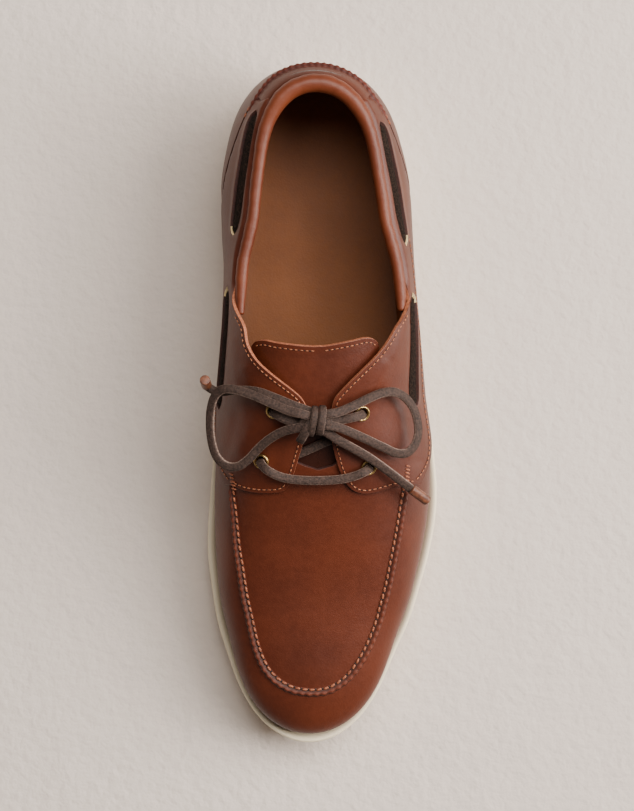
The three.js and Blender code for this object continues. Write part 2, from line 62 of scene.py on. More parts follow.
camera = bpy.data.objects.new("camera", bpy.data.cameras.new("camera"))
camera.data.lens = CAMERA_LENS
camera.data.clip_end = 50
camera.matrix_world = looking(CAMERA_PLACE, CAMERA_TARGET)
bpy.context.collection.objects.link(camera)
bpy.context.scene.camera = camera


LAMP_TARGET = (0, 0, 0.03)
WARM, LESS_WARM = (1.0, 0.955, 0.91), (1.0, 0.96, 0.92)


def lamp(name, place, size, watts, colour):
    """A soft rectangular lamp, size in metres, turned to the shoe."""
    light = bpy.data.lights.new(name, "AREA")
    light.shape = "RECTANGLE"
    light.size, light.size_y = size
    light.energy = watts
    light.color = colour
    holder = bpy.data.objects.new(name, light)
    holder.matrix_world = looking(place, LAMP_TARGET)
    bpy.context.collection.objects.link(holder)


lamp("key_lamp", (1.1, 0.3, 1.25), (1.1, 1.3), 47, WARM)
lamp("heel_lamp", (0.1, 0.7, 1.75), (1.2, 0.9), 30, WARM)
lamp("side_lamp", (1.3, 0.05, 0.45), (1.5, 0.6), 20, LESS_WARM)
world = bpy.data.worlds.new("studio")
bpy.context.scene.world = world
world.use_nodes = True
sky = world.node_tree.nodes["Background"]
sky.inputs["Color"].default_value = (1.0, 0.98, 0.96, 1)
sky.inputs["Strength"].default_value = 0.13


def tint(red, green, blue):
    """A colour given as it looks on a screen, 0 to 255, for a shader."""
    def straight(v):
        v /= 255
        return v / 12.92 if v <= 0.04045 else ((v + 0.055) / 1.055) ** 2.4
    return (straight(red), straight(green), straight(blue), 1)


class Wire:
    """A socket of a finish: Python's operators on it add Math nodes."""

    def __init__(self, finish, socket):
        self.finish, self.socket = finish, socket

    def maths(self, operation, *others):
        return self.finish.node("Math", {"operation": operation}, [self, *others])

    def __add__(self, other):
        return self.maths("ADD", other)

    def __mul__(self, other):
        return self.maths("MULTIPLY", other)

    def __sub__(self, other):
        return self.maths("SUBTRACT", other)

    def __rsub__(self, other):
        return self.finish.node("Math", {"operation": "SUBTRACT"}, [other, self])

    def __pow__(self, other):
        return self.maths("POWER", other)

    __radd__, __rmul__ = __add__, __mul__

    def between(self, low, high):
        """0 below low, 1 above high, and smooth from one to the other."""
        settings = {"interpolation_type": "SMOOTHSTEP"}
        return self.finish.node("MapRange", settings, {"Value": self, "From Min": low, "From Max": high})


class Finish:
    """A material under construction, named for the stuff it shows."""

    def __init__(self, name):
        self.material = bpy.data.materials.new(name)
        self.material.use_nodes = True
        self.tree = self.material.node_tree
        self.surface = self.tree.nodes["Principled BSDF"]
        self.place = self.node("TexCoord", out="Object")

    def node(self, kind, settings=None, values=(), out=0):
        made = self.tree.nodes.new("ShaderNode" + kind)
        for key, value in (settings or {}).items():
            setattr(made, key, value)
        pairs = values.items() if isinstance(values, dict) else enumerate(values)
        for key, value in pairs:
            if isinstance(value, Wire):
                self.tree.links.new(value.socket, made.inputs[key])
            else:
                made.inputs[key].default_value = value
        return Wire(self, made.outputs[out])

    def noise(self, scale, detail=3.0, roughness=0.5):
        values = {"Vector": self.place, "Scale": scale, "Detail": detail, "Roughness": roughness}
        return self.node("TexNoise", {}, values, out="Fac")

    def blend(self, factor, low, high):
        """From low to high, each a tint (red, green, blue) or a socket."""
        low, high = (v if isinstance(v, Wire) else tint(*v) for v in (low, high))
        return self.node("Mix", {"data_type": "RGBA"}, {0: factor, 6: low, 7: high}, out=2)

    def bump(self, height, depth, under=None):
        values = {"Height": height, "Distance": depth, "Strength": 1.0}
        if under:
            values["Normal"] = under
        return self.node("Bump", {}, values)

    def attribute(self, name):
        return self.node("Attribute", {"attribute_name": name}, out="Fac")

    def finished(self, **sockets):
        """Sets the surface: base_color=..., roughness=... and so on, and returns the material."""
        for name, value in sockets.items():
            socket = self.surface.inputs[name.replace("_", " ").title().replace("Ior", "IOR")]
            if isinstance(value, Wire):
                self.tree.links.new(value.socket, socket)
            else:
                socket.default_value = value
        return self.material


def piece_from(name, bm, materials):
    """A finished mesh as a smooth-shaded object."""
    mesh = bpy.data.meshes.new(name)
    bm.to_mesh(mesh)
    bm.free()
    for material in materials:
        mesh.materials.append(material)
    mesh.shade_smooth()
    piece = bpy.data.objects.new(name, mesh)
    bpy.context.collection.objects.link(piece)
    return piece


finish = Finish("pale_plaster")
relief = finish.noise(60, 4) + finish.noise(240, 3) * 0.5
plaster = finish.finished(
    base_color=finish.blend(finish.noise(3, 2), (209, 195, 184), (215, 202, 191)),
    roughness=0.9, normal=finish.bump(relief, 0.0011))
bm = bmesh.new()
bmesh.ops.create_grid(bm, x_segments=8, y_segments=8, size=3)
floor = piece_from("floor", bm, [plaster])


# ---------- the last ----------
# The wooden last that the shoe is made on. Every leather piece is laid over it, so each one is
# drawn as places (u, h) on it: u goes round the plan from the heel, positive on the outer side
# and 0.5 at the toe; h is -1 at the feather edge, 0 at the widest line and 1 on the ridge.
MM = 0.001
HEEL_Y = 144.75               # the y of s = 0
AXIS_X, RIDGE_X = -6, -4.5
LAST_HEEL, LAST_TOE, HEEL_ROUND, TOE_ROUND = 3.2, 283.7, 48, 58
RIDGE_HEEL, RIDGE_TOE = 50, 248
LAST_COLUMNS = ("medial", "lateral", "bottom", "widest", "tuck", "inner", "outer")
LAST_ROWS = np.array([
    (0, 39, 40.5, 14, 40, 6, 2.4, 2.4), (13, 36.2, 38.4, 14, 39.6, 6, 2.05, 2.05),
    (34, 33.8, 36.6, 14, 39, 6, 1.8, 1.8), (57, 34.5, 38.6, 13.6, 38, 6, 1.8, 1.8),
    (72, 34.2, 39.4, 13.2, 37.6, 6.4, 2.1, 2.05), (86, 33.4, 40, 12.6, 37, 7, 2.65, 2.4),
    (110, 34.3, 42.1, 11.7, 36, 7, 2.85, 2.5), (140, 36.8, 45.4, 10.4, 34, 5.5, 2.5, 2.05),
    (166, 38.4, 49.2, 9.2, 32, 4.5, 2.4, 2.2), (193, 38.8, 48, 8.6, 30, 4, 2.5, 2.5),
    (220, 37.4, 42.8, 8.8, 28, 4, 2.8, 2.8), (247, 34.2, 36.4, 10.4, 27, 4, 2.7, 2.7),
    (286, 37.6, 37.6, 15.5, 27, 4, 2.3, 2.3)])
SHOULDER = 0.7                # below 2, a section's power eases in up to this angle
RIDGE_ROWS = [(0, 96), (50, 94), (95, 92), (120, 87.5), (145, 79), (170, 68.5), (195, 57.5),
              (222, 48), (248, 42), (286, 35.5)]
UPPER, OVERLAY, COUNTER = 2.0, 3.9, 3.9     # how far the outsides of the layers are grown


def along(rows, s):
    """The value at s of a table of (s, value), on a smooth curve through its rows."""
    knots, values = np.asarray(rows, float).T
    slopes = np.gradient(values)
    slopes[1:-1] = (values[2:] - values[:-2]) / (knots[2:] - knots[:-2])
    slopes[0] = (values[1] - values[0]) / (knots[1] - knots[0])
    slopes[-1] = (values[-1] - values[-2]) / (knots[-1] - knots[-2])
    s = np.clip(s, knots[0], knots[-1])
    k = np.clip(np.searchsorted(knots, s, "right") - 1, 0, len(knots) - 2)
    span = knots[k + 1] - knots[k]
    t = (s - knots[k]) / span
    ease = t * t * (3 - 2 * t)
    bend = span * t * (1 - t) * (slopes[k] * (1 - t) - slopes[k + 1] * t)
    return values[k] * (1 - ease) + values[k + 1] * ease + bend


def last_at(column, s):
    """The value at s of a named column of the last's table."""
    return along(LAST_ROWS[:, [0, 1 + LAST_COLUMNS.index(column)]], s)


def rounded_end(t, length):
    """The fullness of a round end, 0 at t = 0 and 1 from t = length on."""
    return np.sqrt(np.maximum(0, 1 - np.maximum(0, 1 - t / length) ** 2))


def on_last(u, h, grown):
    """Points (x, y, z) in mm at (u, h) on the last, grown by a number or by one each."""
    u, h, grown = np.broadcast_arrays(*(np.asarray(v, float) for v in (u, h, grown)))
    ahead = (1 - np.cos(2 * np.pi * u)) / 2
    heel, toe = LAST_HEEL - grown, LAST_TOE + grown
    s_edge = heel + (toe - heel) * ahead
    ends = (rounded_end(s_edge - heel, HEEL_ROUND + grown)
            * rounded_end(toe - s_edge, TOE_ROUND + grown))
    lateral = u % 1 < 0.5
    half = np.where(lateral, last_at("lateral", s_edge), last_at("medial", s_edge)) + grown
    x_edge = AXIS_X + np.where(lateral, half, -half) * ends
    ridge = RIDGE_HEEL + (RIDGE_TOE - RIDGE_HEEL) * ahead
    widest = last_at("widest", s_edge)
    power = np.where(lateral, last_at("outer", s_edge), last_at("inner", s_edge))
    angle = np.clip(h, 0, 1) * np.pi / 2
    shoulder = np.clip(angle / SHOULDER, 0, 1)
    power = power + np.maximum(0, 2 - power) * (1 - shoulder * shoulder * (3 - 2 * shoulder))
    cos, sin = np.maximum(np.cos(angle), 0), np.sin(angle)
    reach = (cos ** power + sin ** power) ** (-1 / power)
    rise = 1 + np.clip(h, -1, 0)
    tuck = last_at("tuck", s_edge) / np.hypot(s_edge - ridge, x_edge - RIDGE_X)
    out = np.where(h >= 0, reach * cos, 1 - tuck + tuck * np.sin(rise * np.pi / 2))
    s = ridge + (s_edge - ridge) * out
    top = widest + (along(RIDGE_ROWS, s) + grown - widest) * reach * sin
    floor_z = last_at("bottom", s) - grown
    low = floor_z + (widest - floor_z) * rise ** 1.3
    return np.stack([RIDGE_X + (x_edge - RIDGE_X) * out, HEEL_Y - s, np.where(h >= 0, top, low)], -1)


def crossing(u, grown, low, high, beyond):
    """The h between low and high at which each column u of the last passes an edge: beyond
    says which of the points (x, y, z) in mm are past it."""
    low, high = np.full_like(u, low), np.full_like(u, high)
    for _ in range(22):
        middle = (low + high) / 2
        past = beyond(on_last(u, middle, grown))
        low, high = np.where(past, low, middle), np.where(past, middle, high)
    return low


def above_rows(rows, shift=0):
    """Whether points (x, y, z) lie higher than a table of (s, z), raised by shift."""
    return lambda spot: spot[..., 2] > along(rows, HEEL_Y - spot[..., 1]) + shift


GUIDE_U, GUIDE_H = np.meshgrid(np.linspace(-0.5, 0.5, 501), np.linspace(-1, 1, 101))
GUIDE = on_last(GUIDE_U, GUIDE_H, 3)


def locate(places, grown, side=0):
    """The (u, h) of places (s, x) seen from above, or (s, z) seen from side 1 or -1."""
    places = np.asarray(places, float)
    axes = [1, 2] if side else [1, 0]
    chosen = (GUIDE_U * side > 0.002) if side else (GUIDE_H > 0.02)
    goal = np.stack([HEEL_Y - places[:, 0], places[:, 1]], -1)
    spots = np.argwhere(chosen)
    tree = kdtree.KDTree(len(spots))
    for i, (row, column) in enumerate(spots):
        tree.insert((*GUIDE[row, column, axes], 0), i)
    tree.balance()
    start = [spots[tree.find((*g, 0))[1]] for g in goal]
    found = np.array([(GUIDE_U[r, c], GUIDE_H[r, c]) for r, c in start])
    step = 1e-5
    for _ in range(14):
        u, h = found.T
        here = on_last(u, h, grown)[:, axes]
        by_u = (on_last(u + step, h, grown)[:, axes] - here) / step
        by_h = (on_last(u, h + step, grown)[:, axes] - here) / step
        miss = goal - here
        turn = by_u[:, 0] * by_h[:, 1] - by_u[:, 1] * by_h[:, 0]
        turn = np.where(np.abs(turn) < 1, np.where(turn < 0, -1, 1), turn)
        move_u = (miss[:, 0] * by_h[:, 1] - miss[:, 1] * by_h[:, 0]) / turn
        move_h = (miss[:, 1] * by_u[:, 0] - miss[:, 0] * by_u[:, 1]) / turn
        found[:, 0] += np.clip(move_u, -0.01, 0.01)
        found[:, 1] = np.clip(found[:, 1] + np.clip(move_h, -0.05, 0.05), -0.999, 0.999)
    return found


def outward(u, h, grown):
    """The unit normals of the grown last at (u, h), pointing out of the shoe."""
    step = 1e-4
    by_u = on_last(u + step, h, grown) - on_last(u - step, h, grown)
    by_h = on_last(u, h + step, grown) - on_last(u, h - step, grown)
    normal = np.cross(by_h, by_u)
    return normal / np.maximum(np.linalg.norm(normal, axis=-1, keepdims=True), 1e-9)


def walk_of(points):
    """The length walked to each point of a path."""
    steps = np.linalg.norm(np.diff(points, axis=0), axis=1)
    return np.concatenate([[0], np.cumsum(steps)])


def along_path(walk, points, way):
    """The points after lengths way of a smooth path through points that lie at lengths walk."""
    return np.stack([along(np.stack([walk, column], -1), way) for column in points.T], -1)


class Line:
    """A smooth line through places (u, h) on the last, walked by its length in mm."""

    def __init__(self, places, grown):
        self.grown = grown
        self.places = np.array(places, float)
        self.places[:, 0] = np.unwrap(self.places[:, 0], period=1)
        self.walk = walk_of(on_last(*self.places.T, grown))
        self.length = self.walk[-1]

    def at(self, t):
        """Places (u, h) at parts t of the whole length, 0 to 1."""
        return along_path(self.walk, self.places, np.asarray(t, float) * self.length)

    def frame(self, t):
        """Points, directions and outward normals at t."""
        step = 0.3 / self.length
        here, before, after = (self.at(np.clip(v, 0, 1)) for v in (t, t - step, t + step))
        ahead = on_last(*after.T, self.grown) - on_last(*before.T, self.grown)
        ahead /= np.linalg.norm(ahead, axis=-1, keepdims=True)
        return on_last(*here.T, self.grown), ahead, outward(*here.T, self.grown)

    def beside(self, offset, count=60, t0=0.0, t1=1.0):
        """The line shifted over the surface: positive is to the left of the way it goes."""
        t = np.linspace(t0, t1, count)
        points, ahead, normal = self.frame(t)
        goal = points + np.cross(normal, ahead) * np.reshape(offset, (-1, 1))
        places = self.at(t)
        for _ in range(3):
            u, h = places.T
            here = on_last(u, h, self.grown)
            sides = np.stack([(on_last(u + 1e-5, h, self.grown) - here) / 1e-5,
                              (on_last(u, h + 1e-5, self.grown) - here) / 1e-5], -1)
            miss = (goal - here)[..., None]
            normal_eq = np.einsum("nij,nik->njk", sides, sides) + np.eye(2) * 1e-3
            places = places + np.linalg.solve(
                normal_eq, np.einsum("nij,nik->njk", sides, miss))[..., 0]
        return Line(places, self.grown)


def sheet_between(low, high, rear, front, hold=1):
    """Places (rows, columns, 2) of a four-sided sheet of leather, from its sampled edges; where
    hold is high, the bends of its two ends die away close to them."""
    a = np.linspace(0, 1, len(low))[None, :, None]
    b = np.linspace(0, 1, len(rear))[:, None, None]
    rear_bend = rear[:, None] - (1 - b) * rear[0] - b * rear[-1]
    front_bend = front[:, None] - (1 - b) * front[0] - b * front[-1]
    return (1 - b) * low[None] + b * high[None] + (1 - a) ** hold * rear_bend + a ** hold * front_bend


def add_grid(bm, points, shade=None):
    """Adds a grid of faces with its corners at points (rows, columns, 3) in mm."""
    rows, columns = points.shape[:2]
    layer = bm.verts.layers.float.get("shade") or bm.verts.layers.float.new("shade")
    made = bmesh.ops.create_grid(bm, x_segments=columns - 1, y_segments=rows - 1, size=1)
    for vert in made["verts"]:
        column = round((vert.co.x + 1) / 2 * (columns - 1))
        row = round((vert.co.y + 1) / 2 * (rows - 1))
        vert.co = points[row, column] * MM
        if shade is not None:
            vert[layer] = shade[row, column]
    return made["verts"]


def face_away(bm, middle=None):
    """Turns the faces of an open sheet away from the inside of the shoe."""
    bmesh.ops.recalc_face_normals(bm, faces=bm.faces)
    tally = 0
    for face in bm.faces:
        centre = face.calc_center_median()
        inside = Vector(middle) if middle else Vector((RIDGE_X * MM, centre.y * 0.8, 0.03))
        tally += face.normal.dot(centre - inside) * face.calc_area()
    if tally < 0:
        bmesh.ops.reverse_faces(bm, faces=bm.faces)


ROUND_MOST, ROUND_PART, SHARP = 0.28, 0.2, 50       # mm, part of the thickness, degrees


def thicken(piece, thickness, rim=0, inner=0):
    """Gives a sheet its thickness in mm, inwards, and rounds its cut edges a little."""
    made = piece.modifiers.new("thickness", "SOLIDIFY")
    made.thickness = thickness * MM
    made.offset = -1
    made.material_offset = inner
    made.material_offset_rim = rim
    edge = piece.modifiers.new("rounded_edge", "BEVEL")
    edge.width = min(ROUND_MOST, thickness * ROUND_PART) * MM
    edge.segments = 2
    edge.limit_method = "ANGLE"
    edge.angle_limit = math.radians(SHARP)
    edge.use_clamp_overlap = False
    edge.harden_normals = True


def ride(piece, slot, *nodes):
    """Fixes a piece to the shoe and hides the plain solids that it stands for; its finish, slot, is not
    used.
    """
    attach(piece, "root")
    if nodes:
        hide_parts(*nodes)
    return piece


def sheet(name, points, materials, thickness, slot, *nodes, shade=None, closed=False, middle=None):
    """A piece cut from a sheet: its grid of points in mm, welded where it closes on itself, and
    thickened if it has a thickness. Three materials are its face, inside and cut edges."""
    bm = bmesh.new()
    add_grid(bm, np.asarray(points), shade)
    if closed:
        bmesh.ops.remove_doubles(bm, verts=bm.verts, dist=1e-6)
    face_away(bm, middle)
    piece = piece_from(name, bm, materials)
    if thickness and len(materials) == 3:
        thicken(piece, thickness, rim=2, inner=1)
    elif thickness:
        thicken(piece, thickness)
    return ride(piece, slot, *nodes)


# ---------- eyelets ----------
# Four brass eyelets with a rolled flange, pressed through the facings, two on each side of the
# throat. Their barrels line the holes that the lace runs through.
EYELETS = {"front_medial": (167.8, -27.8), "front_lateral": (170.4, 16.6),
           "rear_medial": (146.9, -22.9), "rear_lateral": (147.9, 13.3)}
EYELET_LIFT, BRASS_THICK = 0.35, 0.2
FLANGE_PROFILE = [(2.25, -2.6), (2.2, 0.1), (2.3, 0.55), (2.6, 0.85), (2.95, 0.92), (3.25, 0.75),
                  (3.42, 0.35), (3.4, 0), (3.0, -0.1)]


def turned_to(point, normal, ahead=(0, -1, 0)):
    """The matrix, in mm, that stands a piece on a point with its z axis along the normal."""
    up = Vector(normal).normalized()
    side = Vector(ahead).cross(up).normalized()
    turn = Matrix((side, up.cross(side), up)).transposed().to_4x4()
    return Matrix.Translation(point) @ turn


finish = Finish("aged_brass")
patina = finish.noise(900, 3).between(0.42, 0.68)
brass = finish.finished(
    base_color=finish.blend(patina, (196, 164, 106), (120, 88, 46)), metallic=1.0,
    roughness=patina * 0.25 + 0.24, normal=finish.bump(finish.noise(1500, 2), 0.00004))
eyelet_places = locate(list(EYELETS.values()), OVERLAY)
eyelet_spots = {}
for name, (u, h) in zip(EYELETS, eyelet_places):
    normal = outward(u, h, OVERLAY)
    centre = on_last(u, h, OVERLAY) + normal * EYELET_LIFT
    eyelet_spots[name] = (centre, normal)
    bm = bmesh.new()
    ring = [bm.verts.new((r, 0, z)) for r, z in FLANGE_PROFILE]
    profile = [bm.edges.new(pair) for pair in zip(ring, ring[1:])]
    bmesh.ops.spin(bm, geom=ring + profile, cent=(0, 0, 0), axis=(0, 0, 1), angle=2 * math.pi,
                   steps=36, use_merge=True)
    bmesh.ops.recalc_face_normals(bm, faces=bm.faces)
    bmesh.ops.transform(bm, verts=bm.verts, matrix=Matrix.Scale(MM, 4) @ turned_to(centre, normal))
    eyelet = piece_from("brass_eyelet_" + name, bm, [brass])
    thicken(eyelet, BRASS_THICK)
    ride(eyelet, "brass", "eyelet_" + name)


# ---------- lace ----------
# One flat grey-brown leather lace, about 4 by 2 mm, cut from oiled hide. Its edges are painted
# paler: pale cut edges and a painted highlight along them. It runs through the eyelets and over
# the tongue, and is tied in a bow on the throat.
LACE_WIDE, LACE_THICK = 3.7, 1.9
SECTION_SIDES, SQUEEZED_OVER = 16, 3    # corners round it, and mm over which a squeeze fades
EYELET_SQUEEZE = 0.78
TIP_WIDE, TIP_ROUND, TIP_LAP = 4.3, 0.35, 0.12


def oiled_lace():
    finish = Finish("oiled_lace_leather")
    lay = finish.node("TexCoord", out="UV")
    across = finish.node("SeparateXYZ", {}, [lay], out=1)
    # painted highlight: the strap's two edges, round its section, are painted paler than its middle
    edge = (across * (4 * math.pi)).maths("COSINE").between(0.1, 0.85)
    fleck = finish.noise(1200, 4, 0.62)
    tone = finish.blend(fleck.between(0.3, 0.7), (38, 27, 22), (72, 54, 46))
    pale = finish.blend(fleck.between(0.35, 0.7), (102, 82, 72), (156, 132, 119))
    relief = finish.noise(900, 4, 0.6) + finish.noise(260, 2) * 0.8
    return finish.finished(
        base_color=finish.blend(edge * 0.85, tone, pale), roughness=fleck * 0.2 + 0.66,
        specular_ior_level=0.3, normal=finish.bump(relief, 0.0003))


def smooth_path(points, step=0.7):
    """Points about every step mm along a smooth curve through the given ones."""
    points = np.asarray(points, float)
    walk = walk_of(points)
    way = np.linspace(0, walk[-1], max(8, round(walk[-1] / step)))
    return along_path(walk, points, way), way, walk


def close_up(bm, verts, near):
    """Welds a tube's seam, caps its ends and turns its faces outwards."""
    bmesh.ops.remove_doubles(bm, verts=verts, dist=near)
    bmesh.ops.holes_fill(bm, edges=[e for e in bm.edges if e.is_boundary], sides=0)
    bmesh.ops.recalc_face_normals(bm, faces=bm.faces)


def directions(line):
    """The unit directions along a path of points."""
    ahead = np.gradient(line, axis=0)
    return ahead / np.linalg.norm(ahead, axis=1, keepdims=True)


def strap_mesh(bm, route, wide, thick, rolls=None, squeeze=(1, 1), power=4.5):
    """Adds a rounded strap along a route in mm. rolls are degrees at the route's points, and
    squeeze narrows each end to fit a hole. Returns the middle line."""
    line, way, walk = smooth_path(route)
    roll = np.radians(along(np.stack([walk, rolls], -1), way)) if rolls is not None else way * 0
    ahead = directions(line)
    middle = len(line) // 2
    normals = [None] * len(line)
    for order in (range(middle, len(line)), range(middle, -1, -1)):
        normal = np.array([0.0, 0.0, 1.0])
        for i in order:
            upright = np.array([0, 0, 1.0]) - ahead[i] * ahead[i][2]
            pull = min(1.0, np.linalg.norm(upright) * (1 if i == middle else 0.35))
            normal = normal - ahead[i] * normal.dot(ahead[i])
            normal = normal / np.linalg.norm(normal) * (1 - pull) + upright * pull
            normal /= np.linalg.norm(normal)
            normals[i] = normal
    normals = np.array(normals)
    side = np.cross(normals, ahead)
    t = way / way[-1]
    slim = 1 - (1 - squeeze[0]) * np.exp(-(way / SQUEEZED_OVER) ** 2) - (
        1 - squeeze[1]) * np.exp(-((way[-1] - way) / SQUEEZED_OVER) ** 2)
    angle = np.linspace(0, 2 * np.pi, SECTION_SIDES + 1)
    cos, sin = np.cos(angle), np.sin(angle)
    reach = (np.abs(cos) ** power + np.abs(sin) ** power) ** (-1 / power)
    out_side = (reach * cos)[None] * (wide / 2 * slim)[:, None]
    out_up = (reach * sin)[None] * (thick / 2 * (0.5 + slim / 2))[:, None]
    side_way = side * np.cos(roll)[:, None] + normals * np.sin(roll)[:, None]
    up_way = normals * np.cos(roll)[:, None] - side * np.sin(roll)[:, None]
    points = (line[:, None] + out_side[..., None] * side_way[:, None]
              + out_up[..., None] * up_way[:, None])
    uv = bm.loops.layers.uv.get("along_lace") or bm.loops.layers.uv.new("along_lace")
    grid = add_grid(bm, points)
    rows = {vert: i for i, vert in enumerate(grid)}
    columns = SECTION_SIDES + 1
    for face in {f for v in grid for f in v.link_faces}:
        for loop in face.loops:
            i = rows[loop.vert]
            loop[uv].uv = (t[i // columns] * way[-1] / 10, (i % columns) / SECTION_SIDES)
    close_up(bm, grid, 1e-7)
    return line


def laced(name, straps, slot, *nodes, finish=None):
    """A piece of straps in mm, each (route, width, thickness, options), and the middle line of
    the last one."""
    bm = bmesh.new()
    for route, wide, thick, options in straps:
        line = strap_mesh(bm, route, wide, thick, **options)
    return ride(piece_from(name, bm, [finish or lace_finish]), slot, *nodes), line


def xyz(route):
    """Points [x, s, z] as they are drawn, as points (x, y, z) in mm."""
    return [(x, HEEL_Y - s, z) for x, s, z in route]


def through(name, *heights):
    """Points on an eyelet's axis, at heights over its flange, in mm."""
    centre, normal = eyelet_spots[name]
    return [tuple(centre + normal * height) for height in heights]


lace_finish = oiled_lace()
BARS = {
    "front": through("front_medial", -5, -1.5, 1.2) + xyz([
        (-25.6, 171.6, 74.6), (-19.1, 174.6, 73.3), (-9.4, 175.8, 72.9), (3.6, 175.5, 72.9),
        (10.1, 174.2, 73), (14.2, 172.6, 73.4)]) + through("front_lateral", 1.2, -1.5, -5),
    "rear_medial": through("rear_medial", -5, -1.5, 1.3) + xyz([
        (-20.1, 149.6, 84.2), (-16, 151.2, 84.4), (-11.6, 151.8, 85), (-7, 151, 85.6)]),
    "rear_lateral": through("rear_lateral", -5, -1.5, 1.3) + xyz([
        (9.6, 149.6, 84.2), (4.3, 150.6, 84.4), (-1.2, 150.6, 85.2), (-5, 151, 85.8)]),
}
for name, route in BARS.items():
    far = EYELET_SQUEEZE if name == "front" else 1
    options = {"squeeze": (EYELET_SQUEEZE, far), "power": 2.6}
    laced("lace_over_" + name, [(route, LACE_WIDE, LACE_THICK + 0.3, options)], "lace_leather",
          "lace_bar_" + name)
laced("lace_under_facings", [
    (xyz([(-17, 166.4, 71.4), (-11.4, 164.3, 71.9), (-6, 161.9, 72.9), (-1.8, 160, 73.3),
          (5, 157.4, 73.2)]), LACE_WIDE, 1.7, {})], "lace_leather")
laced("lace_bow_knot", [
    (xyz([(-3.2, 145.4, 85), (-3.2, 146, 88.6), (-3.3, 147.8, 90.2), (-3.6, 150.4, 90.8),
          (-4, 153.2, 90.4), (-4.3, 155.2, 88.8), (-4.4, 156.2, 85.8)]), 3.0, 1.7, {}),
    (xyz([(-6.3, 145.6, 84.8), (-6.3, 146.2, 88), (-6.5, 148, 89.8), (-6.9, 150.6, 90.2),
          (-7.5, 153.6, 89.4), (-8, 155.8, 87.6), (-8.3, 156.6, 85)]), 2.9, 1.7, {}),
    (xyz([(-7.6, 151.2, 88.4), (-9.2, 153.4, 88.4), (-10.6, 156, 87.2), (-11.8, 158.4, 85),
          (-12.4, 159.4, 82.6)]), 3.6, 1.8, {}),
    (xyz([(-12.2, 149.2, 86.6), (-8, 150.2, 87), (-4, 150.8, 87.2), (0.4, 151, 86.6)]),
     5.4, 3.4, {"power": 2.6})], "lace_leather", "lace_knot")

# The bow: two loops and two ends that leave the knot, each with its length in metres. The
# strap stands partly on edge where a loop turns back.
BOW = {
    "loop_medial": (0.124, "knot", [
        (-7, 149.6, 88), (-12, 148.2, 89.6), (-16.6, 147, 88.8), (-22.7, 144.6, 87.2),
        (-29.1, 141.6, 85), (-37.4, 138.6, 81.4), (-43.8, 138, 78.2), (-47.3, 140.8, 75.2),
        (-49, 146.2, 72.4), (-49.3, 153.4, 70.6), (-48.4, 160.8, 69.6), (-46.2, 166.6, 69.6),
        (-42.5, 169.7, 70), (-37.9, 170, 71.4), (-33.4, 167, 73.6), (-29.6, 162.8, 76.2),
        (-25.2, 158.8, 79.6), (-19.4, 155.4, 83.2), (-12, 153.6, 86.6), (-7.5, 152.4, 87)],
        [0, 5, 10, 14, 18, 22, 26, 30, 32, 32, 32, 30, 26, 22, 18, 12, 8, 4, 0, 0]),
    "loop_lateral": (0.115, "knot", [
        (-6, 149.6, 87.6), (-1, 148.2, 89.4), (2.9, 147.5, 88.8), (9.4, 144.9, 87.2),
        (16, 141.7, 85.4), (21.3, 139.6, 83.4), (26.6, 139.1, 80.6), (31.4, 141.4, 76.4),
        (34.8, 145.3, 73.6), (36.9, 150.8, 71.6), (37.3, 156.7, 70.8), (35.7, 161.5, 70.8),
        (32.4, 164.5, 71.6), (27.7, 164.4, 73.4), (23, 162.3, 76.2), (16.3, 159.2, 79.8),
        (9.6, 156.2, 83.4), (3, 153.6, 86), (-1, 152.9, 87.2), (-5.5, 152, 87.2)],
        [0, -4, -5, -8, -12, -16, -22, -28, -32, -32, -32, -28, -24, -18, -12, -8, -4, 0, 0, 0]),
    "end_medial": (0.051, "fitting", [
        (-7, 147.6, 86.4), (-12, 145.8, 86.2), (-16.3, 144.2, 85.8), (-22.7, 141.6, 84.4),
        (-30.3, 138.9, 81.6), (-38.7, 138.4, 75.8), (-43.8, 139, 72), (-47.3, 138.6, 70.2),
        (-49.6, 137.4, 70.2), (-50.8, 136.2, 71.8)], None),
    "end_lateral": (0.054, "fitting", [
        (-5.6, 153.6, 85.4), (-1.6, 155.6, 83.8), (3.2, 158.8, 82), (9.8, 162.4, 79.5),
        (16.5, 166.3, 76.2), (23.2, 170.9, 72.8), (29.9, 175.9, 69.4), (34.7, 179.6, 66.4),
        (36, 180.6, 65.6)], [0, 4, 8, 12, 16, 20, 20, 18, 16]),
}

# Each end is wrapped in a short barrel of tan leather, rolled tight and cut square.
TIPS = {
    "end_medial": [(-50.7, 136.4, 71.2), (-51.1, 135.4, 74.4), (-51.4, 134.5, 77.8),
                   (-51.5, 134.1, 79.2)],
    "end_lateral": [(34.6, 179.5, 66.6), (37, 181.2, 65.2), (39.6, 183.1, 63.6), (41.8, 184.7, 62.2)],
}


